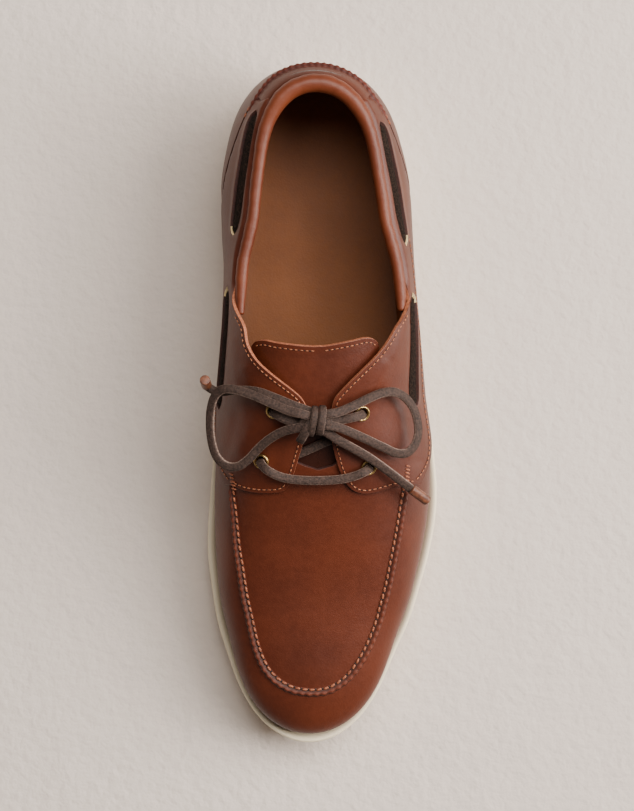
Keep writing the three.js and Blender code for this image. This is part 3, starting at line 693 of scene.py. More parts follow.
finish = Finish("wrapped_tip_leather")
fleck = finish.noise(420, 4, 0.6)
tip_leather = finish.finished(
    base_color=finish.blend(fleck.between(0.3, 0.7), (66, 33, 20), (116, 66, 40)),
    roughness=0.5, normal=finish.bump(finish.noise(1100, 3), 0.00012))
tips = {}
for name, route in TIPS.items():
    bm = bmesh.new()
    line = strap_mesh(bm, xyz(route), TIP_WIDE, TIP_WIDE, power=2)
    axis = Vector(line[-1] - line[0]).normalized()
    for vert in bm.verts:
        centre = line[np.argmin(np.linalg.norm(line - np.array(vert.co) / MM, axis=1))]
        spoke = Vector(vert.co) / MM - Vector(centre)
        if spoke.length > 0.5:
            turn = math.atan2(spoke.dot(axis.cross((0, 0, 1))), spoke.z)
            vert.co += spoke.normalized() * MM * TIP_LAP * ((turn / (2 * math.pi)) % 1 - 0.5)
    rims = [e for e in bm.edges if e.calc_face_angle(0) > 1.0]
    bmesh.ops.bevel(bm, geom=rims, offset=TIP_ROUND * MM, offset_type="OFFSET", segments=2, profile=0.5,
                    affect="EDGES", material=-1)
    tips[name] = piece_from("lace_barrel_" + name, bm, [tip_leather])
    ride(tips[name], "tip_leather", "lace_tip_" + name.split("_")[1])

for name, (length, far_end, route, rolls) in BOW.items():
    strand, line = laced("lace_bow_" + name, [(xyz(route), LACE_WIDE, LACE_THICK, {"rolls": rolls})],
                         "lace_leather", "lace_" + name)
    tuple(line[0] * MM)
    [tuple(p * MM) for p in line]
    [tips[name]] if name in tips else []


# ---------- outsole ----------
# A moulded off-white rubber cup sole, cemented to the upper. Its lip stands out round the
# forefoot, a fine groove runs below it, and wavy sipes are cut across its tread.
SOLE_HEEL, SOLE_TOE, SOLE_HEEL_ROUND, SOLE_TOE_ROUND = 2, 290, 48, 60
SOLE_MEDIAL = [(0, 38), (35, 36.6), (70, 37), (100, 36.2), (130, 37.6), (160, 40.6), (185, 42.7),
               (207, 43.7), (234, 40.4), (255, 37.6), (290, 38)]
SOLE_LATERAL = [(0, 39.5), (35, 38.6), (70, 41), (100, 43.6), (130, 48), (160, 53.6), (185, 55.6),
                (207, 52.6), (234, 45), (255, 39.4), (290, 38)]
SOLE_EDGE = [(0, 23), (35, 22.6), (70, 21.6), (100, 20.4), (130, 18.8), (160, 17.4), (185, 16.8),
             (207, 16.8), (234, 17.6), (255, 19), (290, 23)]
LIP_PROFILE = [(6.5, 0.5), (4.6, 0.75), (3.0, 0.93), (1.9, 0.98), (1.1, 0.997), (0.6, 0.99),
               (0.22, 0.968), (0.04, 0.93), (0, 0.88), (0.02, 0.8), (0.06, 0.745), (0.5, 0.735),
               (0.55, 0.7), (0.1, 0.69), (0.08, 0.62), (0.35, 0.5), (0.9, 0.34), (1.5, 0.2),
               (2, 0.11), (2.7, 0.045), (3.6, 0.01), (4.6, 0), (7.2, 0), (7.8, 0.02), (8, 0.07),
               (9.5, 0.08)]
TREAD_INSET, SIPE_PITCH, SIPE_DEPTH, SIPE_WAVE, SIPE_WAVES = 7.9, 5.0, 1.1, 1.6, 4.5
SIPES_FROM, SIPES_TO = 14, 276
SIPE_PROFILE = [(0, 0), (0.74, 0), (0.8, 0.25), (0.84, 1), (0.94, 1), (0.98, 0.25)]


def underside(s):
    """The height of the sole's underside at s: a low arch and the toe's spring."""
    arch = np.clip((s - 75) / 90, 0, 1)
    spring = np.maximum(0, (s - 215) / 75)
    return 3.5 * np.sin(np.pi * arch) ** 2 + 9 * spring ** 2


def sole_half(s, lateral, heel, toe, inset):
    """Half the sole's width at s, set in by inset and rounded at its ends."""
    ends = (rounded_end(s - heel, SOLE_HEEL_ROUND - inset)
            * rounded_end(toe - s, SOLE_TOE_ROUND - inset))
    return (np.where(lateral, along(SOLE_LATERAL, s), along(SOLE_MEDIAL, s)) - inset) * ends


def sole_outline(u, inset):
    """Plan places (x, s) of the sole's edge in column u, set in by inset."""
    heel, toe = SOLE_HEEL + inset, SOLE_TOE - inset
    s = heel + (toe - heel) * (1 - np.cos(2 * np.pi * u)) / 2
    half = sole_half(s, u % 1 < 0.5, heel, toe, inset)
    return AXIS_X + np.where(u % 1 < 0.5, half, -half), s


def moulded_rubber():
    finish = Finish("moulded_rubber")
    height = finish.node("SeparateXYZ", {}, [finish.place], out=2)
    # darker, rougher blotches towards the bottom of the sole, below 12 mm
    low_blotches = finish.noise(35, 4).between(0.42, 0.75) * (1 - height.between(0.0, 0.012))
    scuff = finish.noise(320, 4, 0.65).between(0.6, 0.8) * 0.25
    rubber_tone = finish.blend(finish.noise(18, 2), (226, 209, 176), (236, 221, 192))
    return finish.finished(
        base_color=finish.blend(low_blotches * 0.45 + scuff, rubber_tone, (176, 160, 132)),
        roughness=0.56 + low_blotches * 0.2, normal=finish.bump(finish.noise(1300, 3), 0.00006))


rubber = moulded_rubber()
columns = np.linspace(0, 1, 221)
points = []
for inset, up in LIP_PROFILE:
    x, s = sole_outline(columns, inset)
    low = underside(s)
    points.append(np.stack([x, HEEL_Y - s, low + (along(SOLE_EDGE, s) - low) * up], -1))
sheet("rubber_cup_sole", points, [rubber], 0, "rubber_sole", "outsole", closed=True,
      middle=(AXIS_X * MM, 0, 0.01))

tread_s = []
for i in range(int((SIPES_TO - SIPES_FROM) / SIPE_PITCH)):
    tread_s += [(SIPES_FROM + SIPE_PITCH * (i + part), depth) for part, depth in SIPE_PROFILE]
tread_s, depth = np.array(tread_s).T
across = np.linspace(-1, 1, 45)
s = tread_s[:, None] + SIPE_WAVE * np.sin(across * SIPE_WAVES * np.pi)[None]
inside_heel, inside_toe = SOLE_HEEL + TREAD_INSET, SOLE_TOE - TREAD_INSET
s = np.clip(s, inside_heel + 0.2, inside_toe - 0.2)
half = sole_half(s, across[None] > 0, inside_heel, inside_toe, TREAD_INSET)
rim = np.clip((1 - np.abs(across)) * 40, 0, 1)[None]
x = AXIS_X + across[None] * half
z = underside(s) + SIPE_DEPTH * np.maximum(depth[:, None], 1 - rim)
sheet("siped_tread", np.stack([x, HEEL_Y - s, z], -1), [rubber], 0, "rubber_sole",
      middle=(AXIS_X * MM, 0, 0.02))


# ---------- leathers ----------
# All the leathers are full-grain calf dyed tan and waxed: a mottled tone and a fine pebbled grain.
# Where "shade" says, the tone darkens: painted shade in grooves, gaps, creases and recesses,
# and a plain darkening towards the bottom of the vamp and the counter.
def tan_leather(name, low, high, shade_tone, rough=0.40, grain=1.0):
    finish = Finish(name)
    cloud = finish.noise(26, 5, 0.55)
    fleck = finish.noise(380, 3, 0.6)
    shade = finish.attribute("shade")
    tone = finish.blend((cloud * 0.75 + fleck * 0.25).between(0.33, 0.68), low, high)
    pebble = finish.node("TexVoronoi", {"feature": "SMOOTH_F1"}, {"Vector": finish.place, "Scale": 1250})
    relief = pebble * 0.8 + finish.noise(2400, 2) * 0.4
    soft = finish.bump(cloud + finish.noise(90, 2) * 0.35, 0.00035 * grain)
    return finish.finished(
        # painted shade: the tone turns to the darkest given colour as the "shade" attribute rises
        base_color=finish.blend(shade.between(0.0, 1.0) * 0.85, tone, shade_tone),
        roughness=rough + fleck * 0.10 - shade * 0.04, specular_ior_level=0.36,
        normal=finish.bump(relief, 0.00005 * grain, soft))


def fibrous(name, dark, pale, fibres=(1600, 3, 0.6), spread=(0.3, 0.7), rough=0.75):
    """A cut edge or a thread: fibres, a noise, that run from dark to pale."""
    finish = Finish(name)
    fibre = finish.noise(*fibres)
    return finish.finished(base_color=finish.blend(fibre.between(*spread), dark, pale),
                           roughness=rough, normal=finish.bump(fibre, 0.0001))


calf = tan_leather("waxed_calf", (71, 28, 12), (87, 37, 17), (32, 11, 5))
lining = tan_leather("lining_leather", (104, 58, 28), (120, 70, 36), (60, 30, 13), 0.6)
tan_edge = fibrous("cut_tan_edge", (124, 64, 38), (172, 104, 70))
# dark cut edges; on the vamp's throat edge this darkness is painted shade
burnt_edge = fibrous("cut_burnt_edge", (34, 12, 7), (64, 26, 15))
cream_edge = fibrous("cut_cream_edge", (190, 160, 112), (224, 200, 150))


# ---------- insole ----------
# A full-length sock of plain brown leather on a thin foam bed, bare of any stamp, lying in the
# shoe with its edge turned up a little by the walls.
SOCK_UP, SOCK_THICK = 3.3, 2.0    # how high its top lies over the last's bottom; the leather
columns, rings = np.linspace(0, 1, 121), np.linspace(0, 1, 16)
edge = on_last(columns, -0.69, 0.9)
spine = np.stack([np.full(121, RIDGE_X), HEEL_Y - RIDGE_HEEL - (RIDGE_TOE - RIDGE_HEEL) * (
    1 - np.cos(2 * np.pi * columns)) / 2, edge[:, 2]], -1)
sock = spine[None] + (edge - spine)[None] * rings[:, None, None]
sock[..., 2] = last_at("bottom", HEEL_Y - sock[..., 1]) + SOCK_UP + 1.1 * rings[:, None] ** 9
insole_leather = tan_leather(
    "insole_leather", (108, 60, 24), (122, 70, 30), (56, 28, 10), 0.58, 1.3)
# painted shade: the sock darkens towards its edge, in the corner where it meets the walls
sheet("insole_sock", sock, [insole_leather], SOCK_THICK, "insole_leather", "insole", closed=True,
      shade=np.repeat((rings ** 6)[:, None], 121, 1) * 0.55, middle=(AXIS_X * MM, 0, -1))


# ---------- upper ----------
# The vamp and its apron over the last, lined, open at the collar and down the throat under the
# facings. It is the shell that the quarters, the counter and the strap are sewn on.
TOPLINE = [(0, 78), (28, 75.3), (48, 74), (68, 73), (88, 71.8), (106, 71.6), (114, 74.5), (121, 81)]
COLLAR_END = 108
FACING_MEDIAL = [(104, -36.6), (112, -35.9), (119, -34.6), (124, -32.2), (128.5, -28.4),
                 (138.4, -15.8), (142, -11.8), (146.5, -9.4), (156, -10), (168, -13),
                 (177.5, -15.8)]
FACING_LATERAL = [(104, 30.2), (112.4, 27.7), (118, 24.4), (123, 20.6), (133.2, 10.3), (138.4, 5.1),
                  (142.3, 1.9), (147, 0.8), (159.3, 1.2), (169.7, 3.8), (176.5, 6.6)]
COLLAR_FRONT = 121            # the collar's opening is cut as far as this s
THROAT_GROWN, THROAT_START, THROAT_END, THROAT_FLOOR = 1.4, 104, 170, 55
UPPER_THICK, WALL_COLUMNS, WALL_ROWS = 2.0, 300, 84


def cut_away(points):
    """Whether points in mm are above the collar's top line or in the throat."""
    s, x, z = HEEL_Y - points[..., 1], points[..., 0], points[..., 2]
    collar = (s < COLLAR_FRONT) & (z > along(TOPLINE, s))
    left = np.interp(s - THROAT_GROWN, *np.array(FACING_MEDIAL).T) - THROAT_GROWN
    right = np.interp(s - THROAT_GROWN, *np.array(FACING_LATERAL).T) + THROAT_GROWN
    throat = (s > THROAT_START) & (s < THROAT_END) & (z > THROAT_FLOOR)
    return collar | (throat & (x > left) & (x < right))


u = np.linspace(0, 1, WALL_COLUMNS + 1)
open_above = cut_away(on_last(u, 0.9995, UPPER))
top = np.where(open_above, crossing(u, UPPER, 0.0, 1.0, cut_away), 1.0)
h = -1 + (top[None] + 1) * np.linspace(0, 1, WALL_ROWS + 1)[:, None]
# The vamp darkens towards its bottom edge through "shade". Its cut edges take the dark edge finish,
# which is painted shade where the throat's edge shows in the gap between the facings.
sheet("vamp_and_apron", on_last(u, h, UPPER), [calf, lining, burnt_edge], UPPER_THICK,
      "vamp_leather", "upper", shade=np.clip((-0.35 - h) / 0.6, 0, 1) * 0.7, closed=True)


# ---------- thread ----------
# Waxed tan thread, laid as separate stitches: fine lockstitch near the edges, and thick
# hand-sewn stitches in the apron and heel seams, over pricked holes.
SPUN = ((1800, 2), (0.35, 0.65), 0.62)    # a twisted thread's fibres, spread and roughness
fine_thread = fibrous("fine_thread", (124, 68, 40), (176, 112, 76), *SPUN)
thick_thread = fibrous("thick_thread", (106, 51, 29), (164, 97, 63), *SPUN)
# Dark beads that paint the shade in the pricked holes between the stitches.
pricked = fibrous("pricked_hole", (24, 10, 6), (40, 18, 10))

# One stitch or hole before it is stretched.
bm = bmesh.new()
bmesh.ops.create_uvsphere(bm, u_segments=8, v_segments=5, radius=0.5)
bead = bpy.data.meshes.new("bead")
bm.to_mesh(bead)
bm.free()


def sewn(name, runs, slot="vamp_leather"):
    """One piece of stitches. Each run is a line, its pitch, and the length, width, height, lift
    and material of its stitches, with optionally their shift along and a slant in degrees."""
    bm = bmesh.new()
    materials = []
    for line, pitch, length, width, height, lift, material, *more in runs:
        shift, slant = (more + [0, 0])[:2]
        if material not in materials:
            materials.append(material)
        count = max(1, int(line.length / pitch))
        t = (np.arange(count) + 0.5 + shift) / count
        points, ahead, normal = line.frame(np.clip(t[t < 1], 0.001, 0.999))
        for p, a, n in zip(points, ahead, normal):
            side = np.cross(n, a)
            c, s = math.cos(math.radians(slant)), math.sin(math.radians(slant))
            way, wide = a * c + side * s, side * c - a * s
            frame_of = Matrix(np.stack([way * length, wide * width, n * height], -1).tolist())
            place = Matrix.Translation((p + n * lift) * MM) @ (frame_of * MM).to_4x4()
            copy = bead.copy()
            copy.transform(place)
            before = len(bm.faces)
            bm.from_mesh(copy)
            bm.faces.ensure_lookup_table()
            for face in bm.faces[before:]:
                face.material_index = materials.index(material)
            bpy.data.meshes.remove(copy)
    bmesh.ops.recalc_face_normals(bm, faces=bm.faces)
    return ride(piece_from(name, bm, materials), slot)


# ---------- tongue ----------
# A plain leather tongue, sewn in under the throat. Its free top edge is turned, slightly
# hollow, and stitched 2 mm in.
TONGUE_TOP = [(120.4, -32.6), (118.4, -31), (117.9, -27.5), (118.9, -22.8), (119.8, -16.4),
              (120.4, -10), (120.5, -3.5), (119.5, 2.9), (118.2, 9.3), (117.0, 14.5), (117.2, 17.7),
              (118.6, 19.8), (121, 20.6)]
TONGUE_GROWN, TONGUE_THICK = -0.3, 1.8


def over_last(places, grown):
    """Points (x, y, z) in mm on the last's upper side at plan places (s, x)."""
    flat = np.asarray(places, float).reshape(-1, 2)
    return on_last(*locate(flat, grown).T, grown).reshape(*np.shape(places)[:-1], 3)


def even(places, count):
    """A drawn outline walked in equal steps."""
    places = np.asarray(places, float)
    walk = walk_of(places)
    return along_path(walk, places, np.linspace(0, walk[-1], count))


TONGUE_COLUMNS, TONGUE_ROWS = 52, 50
top_edge = even(TONGUE_TOP, TONGUE_COLUMNS)
low_edge = even([(178, -19), (178, -4), (178, 10)], TONGUE_COLUMNS)
medial_edge = even([(178, -19), (150, -27), (120.4, -32.6)], TONGUE_ROWS)
lateral_edge = even([(178, 10), (150, 17), (121, 20.6)], TONGUE_ROWS)
tongue_places = sheet_between(low_edge, top_edge, medial_edge, lateral_edge)
points = over_last(tongue_places, TONGUE_GROWN)
lip = np.exp(-np.linspace(TONGUE_ROWS, 0, TONGUE_ROWS) / 2.2)[:, None]
points[..., 2] += 0.5 * lip
# painted shade: darker along the fold under the turned top edge and, further down, in the recess between
# the facings
crease = np.exp(-((np.linspace(0, 1, TONGUE_ROWS) - 0.93) / 0.03) ** 2)[:, None]
painted_recess_shade = np.clip((HEEL_Y - points[..., 1] - 146) / 14, 0, 1) * 0.9
sheet("leather_tongue", points, [calf, lining, tan_edge], TONGUE_THICK, "tongue_leather", "tongue",
      shade=np.maximum(crease * 0.25, painted_recess_shade))


# ---------- quarters ----------
# One calf quarter on each side, from the back strap to its facing, sewn over the vamp along a
# dotted row. Two long slots on each side, pale at their near ends, show the side lace.
QUARTER_THICK = 1.6
QUARTER_REAR, QUARTER_FRONT = 12.4, 178
HOLE_CUT, HOLE_NEAR, HOLE_RADIUS = 2.9, 4.6, 3.0    # the holes under the eyelets
COUNTER_TOP = [(-5, 63.2), (8, 63.2), (14, 63.6), (20, 62.5), (28, 60), (34, 57.4), (41, 54),
               (48, 50.5), (56, 45), (60, 40), (64, 31), (66, 24)]
QUARTER_COLUMNS, LOW_ROWS, HIGH_ROWS = 190, 20, 26
SIDES = ((-1, "medial"), (1, "lateral"))
HEM = [(12.4, 65.8), (15, 62.8), (20, 60.2), (26, 56.6), (32, 53.6), (40, 49.6), (50, 45),
       (60, 42.6), (80, 42), (96, 43), (110, 43.6), (130, 43), (150, 42.6), (160, 43.8),
       (168, 47.6), (174, 51.6), (178, 53.4)]
SLOT_LINES = {
    -1: [(12.4, 71), (23, 70.8), (48, 69), (73, 65.8), (85, 63.4), (96, 61.8), (110, 61), (122, 58.5),
         (145, 52.4), (162, 52.6), (178, 55)],
    1: [(12.4, 71.2), (27, 71), (50, 69.2), (76, 66.6), (87, 66.4), (98, 66.2), (110, 67), (122, 65.4),
        (145, 60), (162, 57.6), (178, 55.8)]}
SLOTS = {-1: {"rear": (22.4, 73.6, 2.7), "front": (95.4, 146, 3.0)},
         1: {"rear": (26.6, 77.4, 2.7), "front": (97.9, 145.4, 3.0)}}
CREASES = [                   # soft folds of the facings: from s, x to s, x, half width, height
    (148, 30, 164, 35, 2.6, 0.55), (152, 34.5, 168, 38.5, 2.2, -0.45), (150, 7, 166, 9, 2.6, -0.3),
    (128, 23, 142, 17, 2.8, 0.5), (130, -35, 144, -29, 2.6, 0.4), (150, -30, 164, -37, 2.4, 0.55),
    (156, -20, 174, -24, 2.6, -0.4), (148, -38, 166, -43, 2.0, -0.4), (112, 31, 124, 27, 2.4, 0.4),
    (118, -40, 134, -39, 2.0, 0.3)]
FLARE = 1.0                   # how far the thong pushes out the slots' lower edges
LAP = 1.35                    # how far the quarter sinks where the strap and the counter cover it
ROLLED_IN, ROLLED_TO = 1.7, 99    # its top edge turns in under the collar this much, up to this s
PALE_ENDS = 3.6               # the slots' edges are pale this near the ends that face each other
FACING_FRONT = {-1: [(180.6, -19), (181.5, -25.6), (180.7, -34), (178.8, -39.3)],
                1: [(180.4, 10.6), (181.7, 15), (181.1, 20.1), (178.9, 28.5)]}
FACING_BACK = {-1: FACING_MEDIAL, 1: FACING_LATERAL}
TUCKED_UP = 0.5               # the quarter's top edge is tucked this far up into the collar


def slot_half(side, s):
    """Half the opening of the slots at s, rounded at their ends."""
    total = np.zeros_like(s)
    for start, end, half in SLOTS[side].values():
        part = (s - (start + end) / 2) / ((end - start) / 2)
        total += half * np.maximum(0, 1 - np.abs(part) ** 8) ** 0.5
    return total


def soft_fold(s, x, s0, x0, s1, x1, half_width, height):
    """A soft ridge, or a trough where height is below 0, along a line from s0, x0 to s1, x1."""
    run_s, run_x = s1 - s0, x1 - x0
    part = np.clip(((s - s0) * run_s + (x - x0) * run_x) / (run_s ** 2 + run_x ** 2), 0, 1)
    far = np.hypot(s - s0 - part * run_s, x - x0 - part * run_x)
    return height * np.exp(-(far / half_width) ** 2)


def from_side(s, z, side):
    """Places (u, h) under the quarters' outside at (s, z), seen from side 1 or -1."""
    return locate(np.stack([s, z], -1).reshape(-1, 2), OVERLAY, side).reshape(*np.shape(s), 2)


def walked(places, count):
    """Places (u, h) in even steps over the last's surface."""
    return Line(places, OVERLAY).at(np.linspace(0, 1, count))


quarter_lines = {}            # each side's throat edge and front edge, for their stitches
for side, name in SIDES:
    slot_s = np.linspace(QUARTER_REAR, QUARTER_FRONT, QUARTER_COLUMNS)
    slot_z = along(SLOT_LINES[side], slot_s)
    half = slot_half(side, slot_s)
    below = from_side(slot_s, slot_z - half, side)
    above = from_side(slot_s, slot_z + half, side)
    rim_s = np.array([QUARTER_REAR, 22, 30, 38, 45, 52, 60, 68, 75, 82, 90, 96, 102])
    topline = from_side(rim_s, along(TOPLINE, rim_s) + TUCKED_UP, side)
    facing = locate([p for p in FACING_BACK[side] if p[0] > 109], OVERLAY)
    back_high = walked(np.stack([above[0], topline[0]]), HIGH_ROWS)
    high = walked(np.concatenate([topline, facing]), QUARTER_COLUMNS)
    turn_down = locate(FACING_FRONT[side], OVERLAY)
    front_high = walked(np.concatenate([above[-1:], turn_down[::-1], high[-1:]]), HIGH_ROWS)
    hem_z = along(HEM, slot_s)
    low_z = hem_z + (slot_z - half - hem_z) * np.linspace(0, 1, LOW_ROWS)[:, None]
    low_panel = from_side(np.broadcast_to(slot_s, low_z.shape), low_z, side)
    low_panel[-1] = below
    high_panel = sheet_between(above, high, back_high, front_high, 5)
    bm = bmesh.new()
    for panel, slot_row, turned in ((low_panel, -1, 0), (high_panel, 0, 1)):
        points = on_last(panel[..., 0], panel[..., 1], OVERLAY)
        s, z = HEEL_Y - points[..., 1], points[..., 2]
        from_rear = np.linalg.norm(points - points[:, :1], axis=-1)
        from_top = np.linalg.norm(points - points[-1:], axis=-1)
        from_slot = np.linalg.norm(points - points[slot_row], axis=-1)
        under = np.clip((along(COUNTER_TOP, s) + 1.6 - z) / 2, 0, 1) * np.clip((66 - s) / 6, 0, 1)
        lapped = LAP * np.maximum(np.clip(1 - from_rear / 7, 0, 1) ** 0.5, under)
        rolled_in = turned * ROLLED_IN * np.clip(1 - from_top / 3.2, 0, 1) ** 1.5
        rolled_in *= np.clip((ROLLED_TO - s) / 7, 0, 1)
        sunk = -0.6 * np.clip(from_top / 6, 0, 1) if turned else 1
        pushed = FLARE * np.exp(-(from_slot / 2.6) ** 2) * slot_half(side, s) / 3 * sunk * (1 - under)
        folds = sum(soft_fold(s, points[..., 0], *crease) for crease in CREASES)
        grown = OVERLAY - lapped - rolled_in + pushed + folds
        add_grid(bm, on_last(panel[..., 0], panel[..., 1], grown))
    bmesh.ops.remove_doubles(bm, verts=bm.verts, dist=2e-6)
    face_away(bm)
    for key, (centre, _) in eyelet_spots.items():
        if name not in key:
            continue
        centre = Vector(centre) * MM
        near = [f for f in bm.faces if (f.calc_center_median() - centre).length < HOLE_CUT * MM]
        bmesh.ops.delete(bm, geom=near, context="FACES")
        for vert in bm.verts:
            gap = vert.co - centre
            if vert.is_boundary and gap.length < HOLE_NEAR * MM:
                vert.co = centre + gap.normalized() * HOLE_RADIUS * MM
    pale_from, pale_to = SLOTS[side]["rear"][1] - PALE_ENDS, SLOTS[side]["front"][0] + PALE_ENDS
    for face in bm.faces:
        place = face.calc_center_median() / MM
        s, z = HEEL_Y - place.y, place.z
        near_slot = s < 148 and abs(z - along(SLOT_LINES[side], s)) < 4.4
        if near_slot and z < along(TOPLINE, s) - 1:
            face.material_index = 3 if pale_from < s < pale_to else 6
    quarter = piece_from(f"quarter_{name}_with_facing", bm,
                         [calf, lining, tan_edge, calf, lining, cream_edge, calf, lining, burnt_edge])
    thicken(quarter, QUARTER_THICK, rim=2, inner=1)
    ride(quarter, "quarter_leather", "quarter_" + name)
    quarter_lines[side] = Line(high, OVERLAY), Line(front_high[::-1], OVERLAY)


# ---------- side lace ----------
# A dark brown suede thong that runs round the heel inside the collar and shows in the four
# slots, loose enough to fill them.
finish = Finish("brushed_dark_suede")
nap = finish.noise(1400, 4, 0.7)
THONG_THICK, THONG_SUNK = 0.8, 2.6    # its ends are grown only this far, under the slots' edges
suede = finish.finished(
    base_color=finish.blend(nap.between(0.35, 0.7), (14, 10, 8), (50, 37, 30)),
    roughness=0.95, specular_ior_level=0.1, normal=finish.bump(nap + finish.noise(420, 2), 0.0006))
for side, name in SIDES:
    for key, (start, end, half) in SLOTS[side].items():
        s = np.linspace(start - 1.2, end + 1.2, 56)
        z = along(SLOT_LINES[side], s)
        rows = np.linspace(-1, 1, 9)
        places = [from_side(s, z + part * (half - 0.1), side) for part in rows]
        shown = np.clip(np.minimum(s - start, end - s) / 2.5, 0, 1)
        grown = THONG_SUNK + shown * (0.8 + 0.8 * (1 - rows ** 2)[:, None] + 0.1 * np.sin(s * 1.9))
        sheet(f"suede_thong_{key}_{name}", [on_last(*p.T, g) for p, g in zip(places, grown)],
              [suede], THONG_THICK, "thong_suede", f"side_lace_{key}_{name}")


# ---------- heel counter and back strap ----------
# A calf counter cups the heel below, and a narrow strap joins the quarters above it. The two
# are drawn together by hand into a raised seam round the back of the heel.
STRAP, COUNTER_THICK, STRAP_THICK = 3.9, 1.5, 1.4
COUNTER_U, STRAP_MEDIAL, STRAP_LATERAL = 0.168, -0.066, 0.062    # their ends, as u on the last
HEEL_IN = 0.7                 # the counter and strap are pulled in this far at the very back
COUNTER_LOW = -0.62           # the h at which the counter ends, inside the sole's lip

heel_u = np.linspace(-COUNTER_U, COUNTER_U, 141)
counter_h = crossing(heel_u, COUNTER, COUNTER_LOW, 0.9, above_rows(COUNTER_TOP))
kept = counter_h > COUNTER_LOW + 0.02
heel_u, counter_h = heel_u[kept], counter_h[kept]
h = COUNTER_LOW + (counter_h - COUNTER_LOW)[None] * np.linspace(0, 1, 31)[:, None]
tucked_in = 1.5 * np.clip((-0.05 - h) / 0.4, 0, 1)
front_lap = 0.9 * np.clip((HEEL_Y - on_last(heel_u, h, COUNTER)[..., 1] - 52) / 14, 0, 1)
pulled_in = HEEL_IN * np.exp(-(heel_u / 0.05) ** 2)
grown = COUNTER - pulled_in - np.maximum(tucked_in, front_lap)
# The counter darkens towards its bottom edge through "shade".
sheet("heel_counter_calf", on_last(heel_u, h, grown), [calf, lining, burnt_edge], COUNTER_THICK,
      "quarter_leather", "heel_counter", shade=np.clip(-h * 1.2 - 0.2, 0, 0.6))

strap_u = np.linspace(STRAP_MEDIAL, STRAP_LATERAL, 61)
strap_low, strap_high = (crossing(strap_u, STRAP, 0.0, 0.9, above_rows(rows, shift))
                         for rows, shift in ((COUNTER_TOP, 0.3), (TOPLINE, TUCKED_UP)))
up = np.linspace(0, 1, 15)[:, None]
h = strap_low + (strap_high - strap_low)[None] * up
grown = STRAP - HEEL_IN * np.exp(-(strap_u / 0.05) ** 2) - 1.6 * up ** 6
# painted shade: the strap darkens at its top edge, in the gap under the collar roll
sheet("back_strap_calf", on_last(strap_u, h, grown), [calf, lining, burnt_edge], STRAP_THICK,
      "quarter_leather", "back_strap", shade=np.broadcast_to(up ** 8, h.shape))

piping = fibrous("grey_piping", (74, 62, 58), (112, 100, 94))
route = on_last(strap_u[4:-4], strap_high[4:-4] - 0.055, STRAP - HEEL_IN - 0.3)
laced("collar_piping", [(route[::4], 0.9, 0.8, {"power": 2})], "collar_leather", finish=piping)


# ---------- collar ----------
# A padded roll of softer, redder leather bound over the top line, from one facing round the
# heel to the other. It is fullest at the heel and puckers a little on its inner side.
ROLL_GROWN, ROLL_SIDES, ROLL_U = 0.7, 24, 0.34
ROLL_HALF = [(0, 4.3), (15, 3.7), (30, 2.9), (50, 2.6), (80, 2.6), (97, 2.4), (104, 1.8), (108, 1.1)]

collar_u = np.linspace(-ROLL_U, ROLL_U, 519)
collar = on_last(collar_u, crossing(collar_u, ROLL_GROWN, 0.0, 1.0, above_rows(TOPLINE)), ROLL_GROWN)
first, last = np.flatnonzero(HEEL_Y - collar[:, 1] <= COLLAR_END)[[0, -1]]
roll_line, way, _ = smooth_path(collar[first:last + 1:4], 0.9)
ahead = directions(roll_line)
side_way = np.cross(ahead, (0, 0, 1))
side_way /= np.linalg.norm(side_way, axis=1, keepdims=True)
up_way = np.cross(side_way, ahead)
angle = np.linspace(0, 2 * np.pi, ROLL_SIDES + 1)
half = along(ROLL_HALF, HEEL_Y - roll_line[:, 1])
pucker = sum(np.sin(way[:, None] * k + p + 0.8 * np.sin(angle)) * a
             for k, p, a in ((0.9, 0.4, 0.05), (1.7, 1.3, 0.035), (0.33, 2.2, 0.06)))
inner_side = np.clip(np.cos(angle + np.pi), 0, 1)[None]
radius = half[:, None] + pucker * (0.4 + inner_side)
points = (roll_line[:, None] + (radius * np.cos(angle))[..., None] * side_way[:, None]
          + (radius * np.sin(angle))[..., None] * up_way[:, None])
bm = bmesh.new()
add_grid(bm, points)
close_up(bm, bm.verts, 1e-6)
collar_calf = tan_leather("collar_calf", (88, 38, 18), (106, 50, 26), (50, 20, 9), 0.40, 1.4)
roll = piece_from("padded_collar_roll", bm, [collar_calf])
ride(roll, "collar_leather", "collar_roll")


# ---------- apron seam ----------
# The apron is joined to the vamp by hand: the vamp's edge is gathered up into a ruched ridge,
# and thick tan stitches lie along its inner foot, between pricked holes.
APRON_SEAM = [(174, -38.9), (180.8, -39.1), (189.4, -38.1), (202.7, -36.8), (215.9, -34.8),
              (229.2, -32.5), (242.5, -29.5), (249.1, -27.6), (255.7, -24.6), (260.4, -20.7),
              (264.1, -14.9), (265.6, -8.3), (265.7, -3.6), (264.7, 1.5), (262.4, 5.7),
              (259.1, 9.6), (253.7, 13.6), (247.8, 16.9), (241.8, 19.5), (235.8, 21.6),
              (229.2, 23.2), (215.9, 26.2), (202.7, 28.5), (189.4, 30.5), (182.8, 31.5),
              (175, 32.4)]
RIDGE_PROFILE = [(-1.2, -0.3), (-0.7, 0.02), (-0.15, 0.1), (0.35, 0.35), (0.7, 0.95), (1.05, 1.45),
                 (1.5, 1.62), (1.95, 1.38), (2.4, 0.85), (2.9, 0.34), (3.5, 0.02), (4.2, -0.3)]
SEAM_PITCH = 3.0


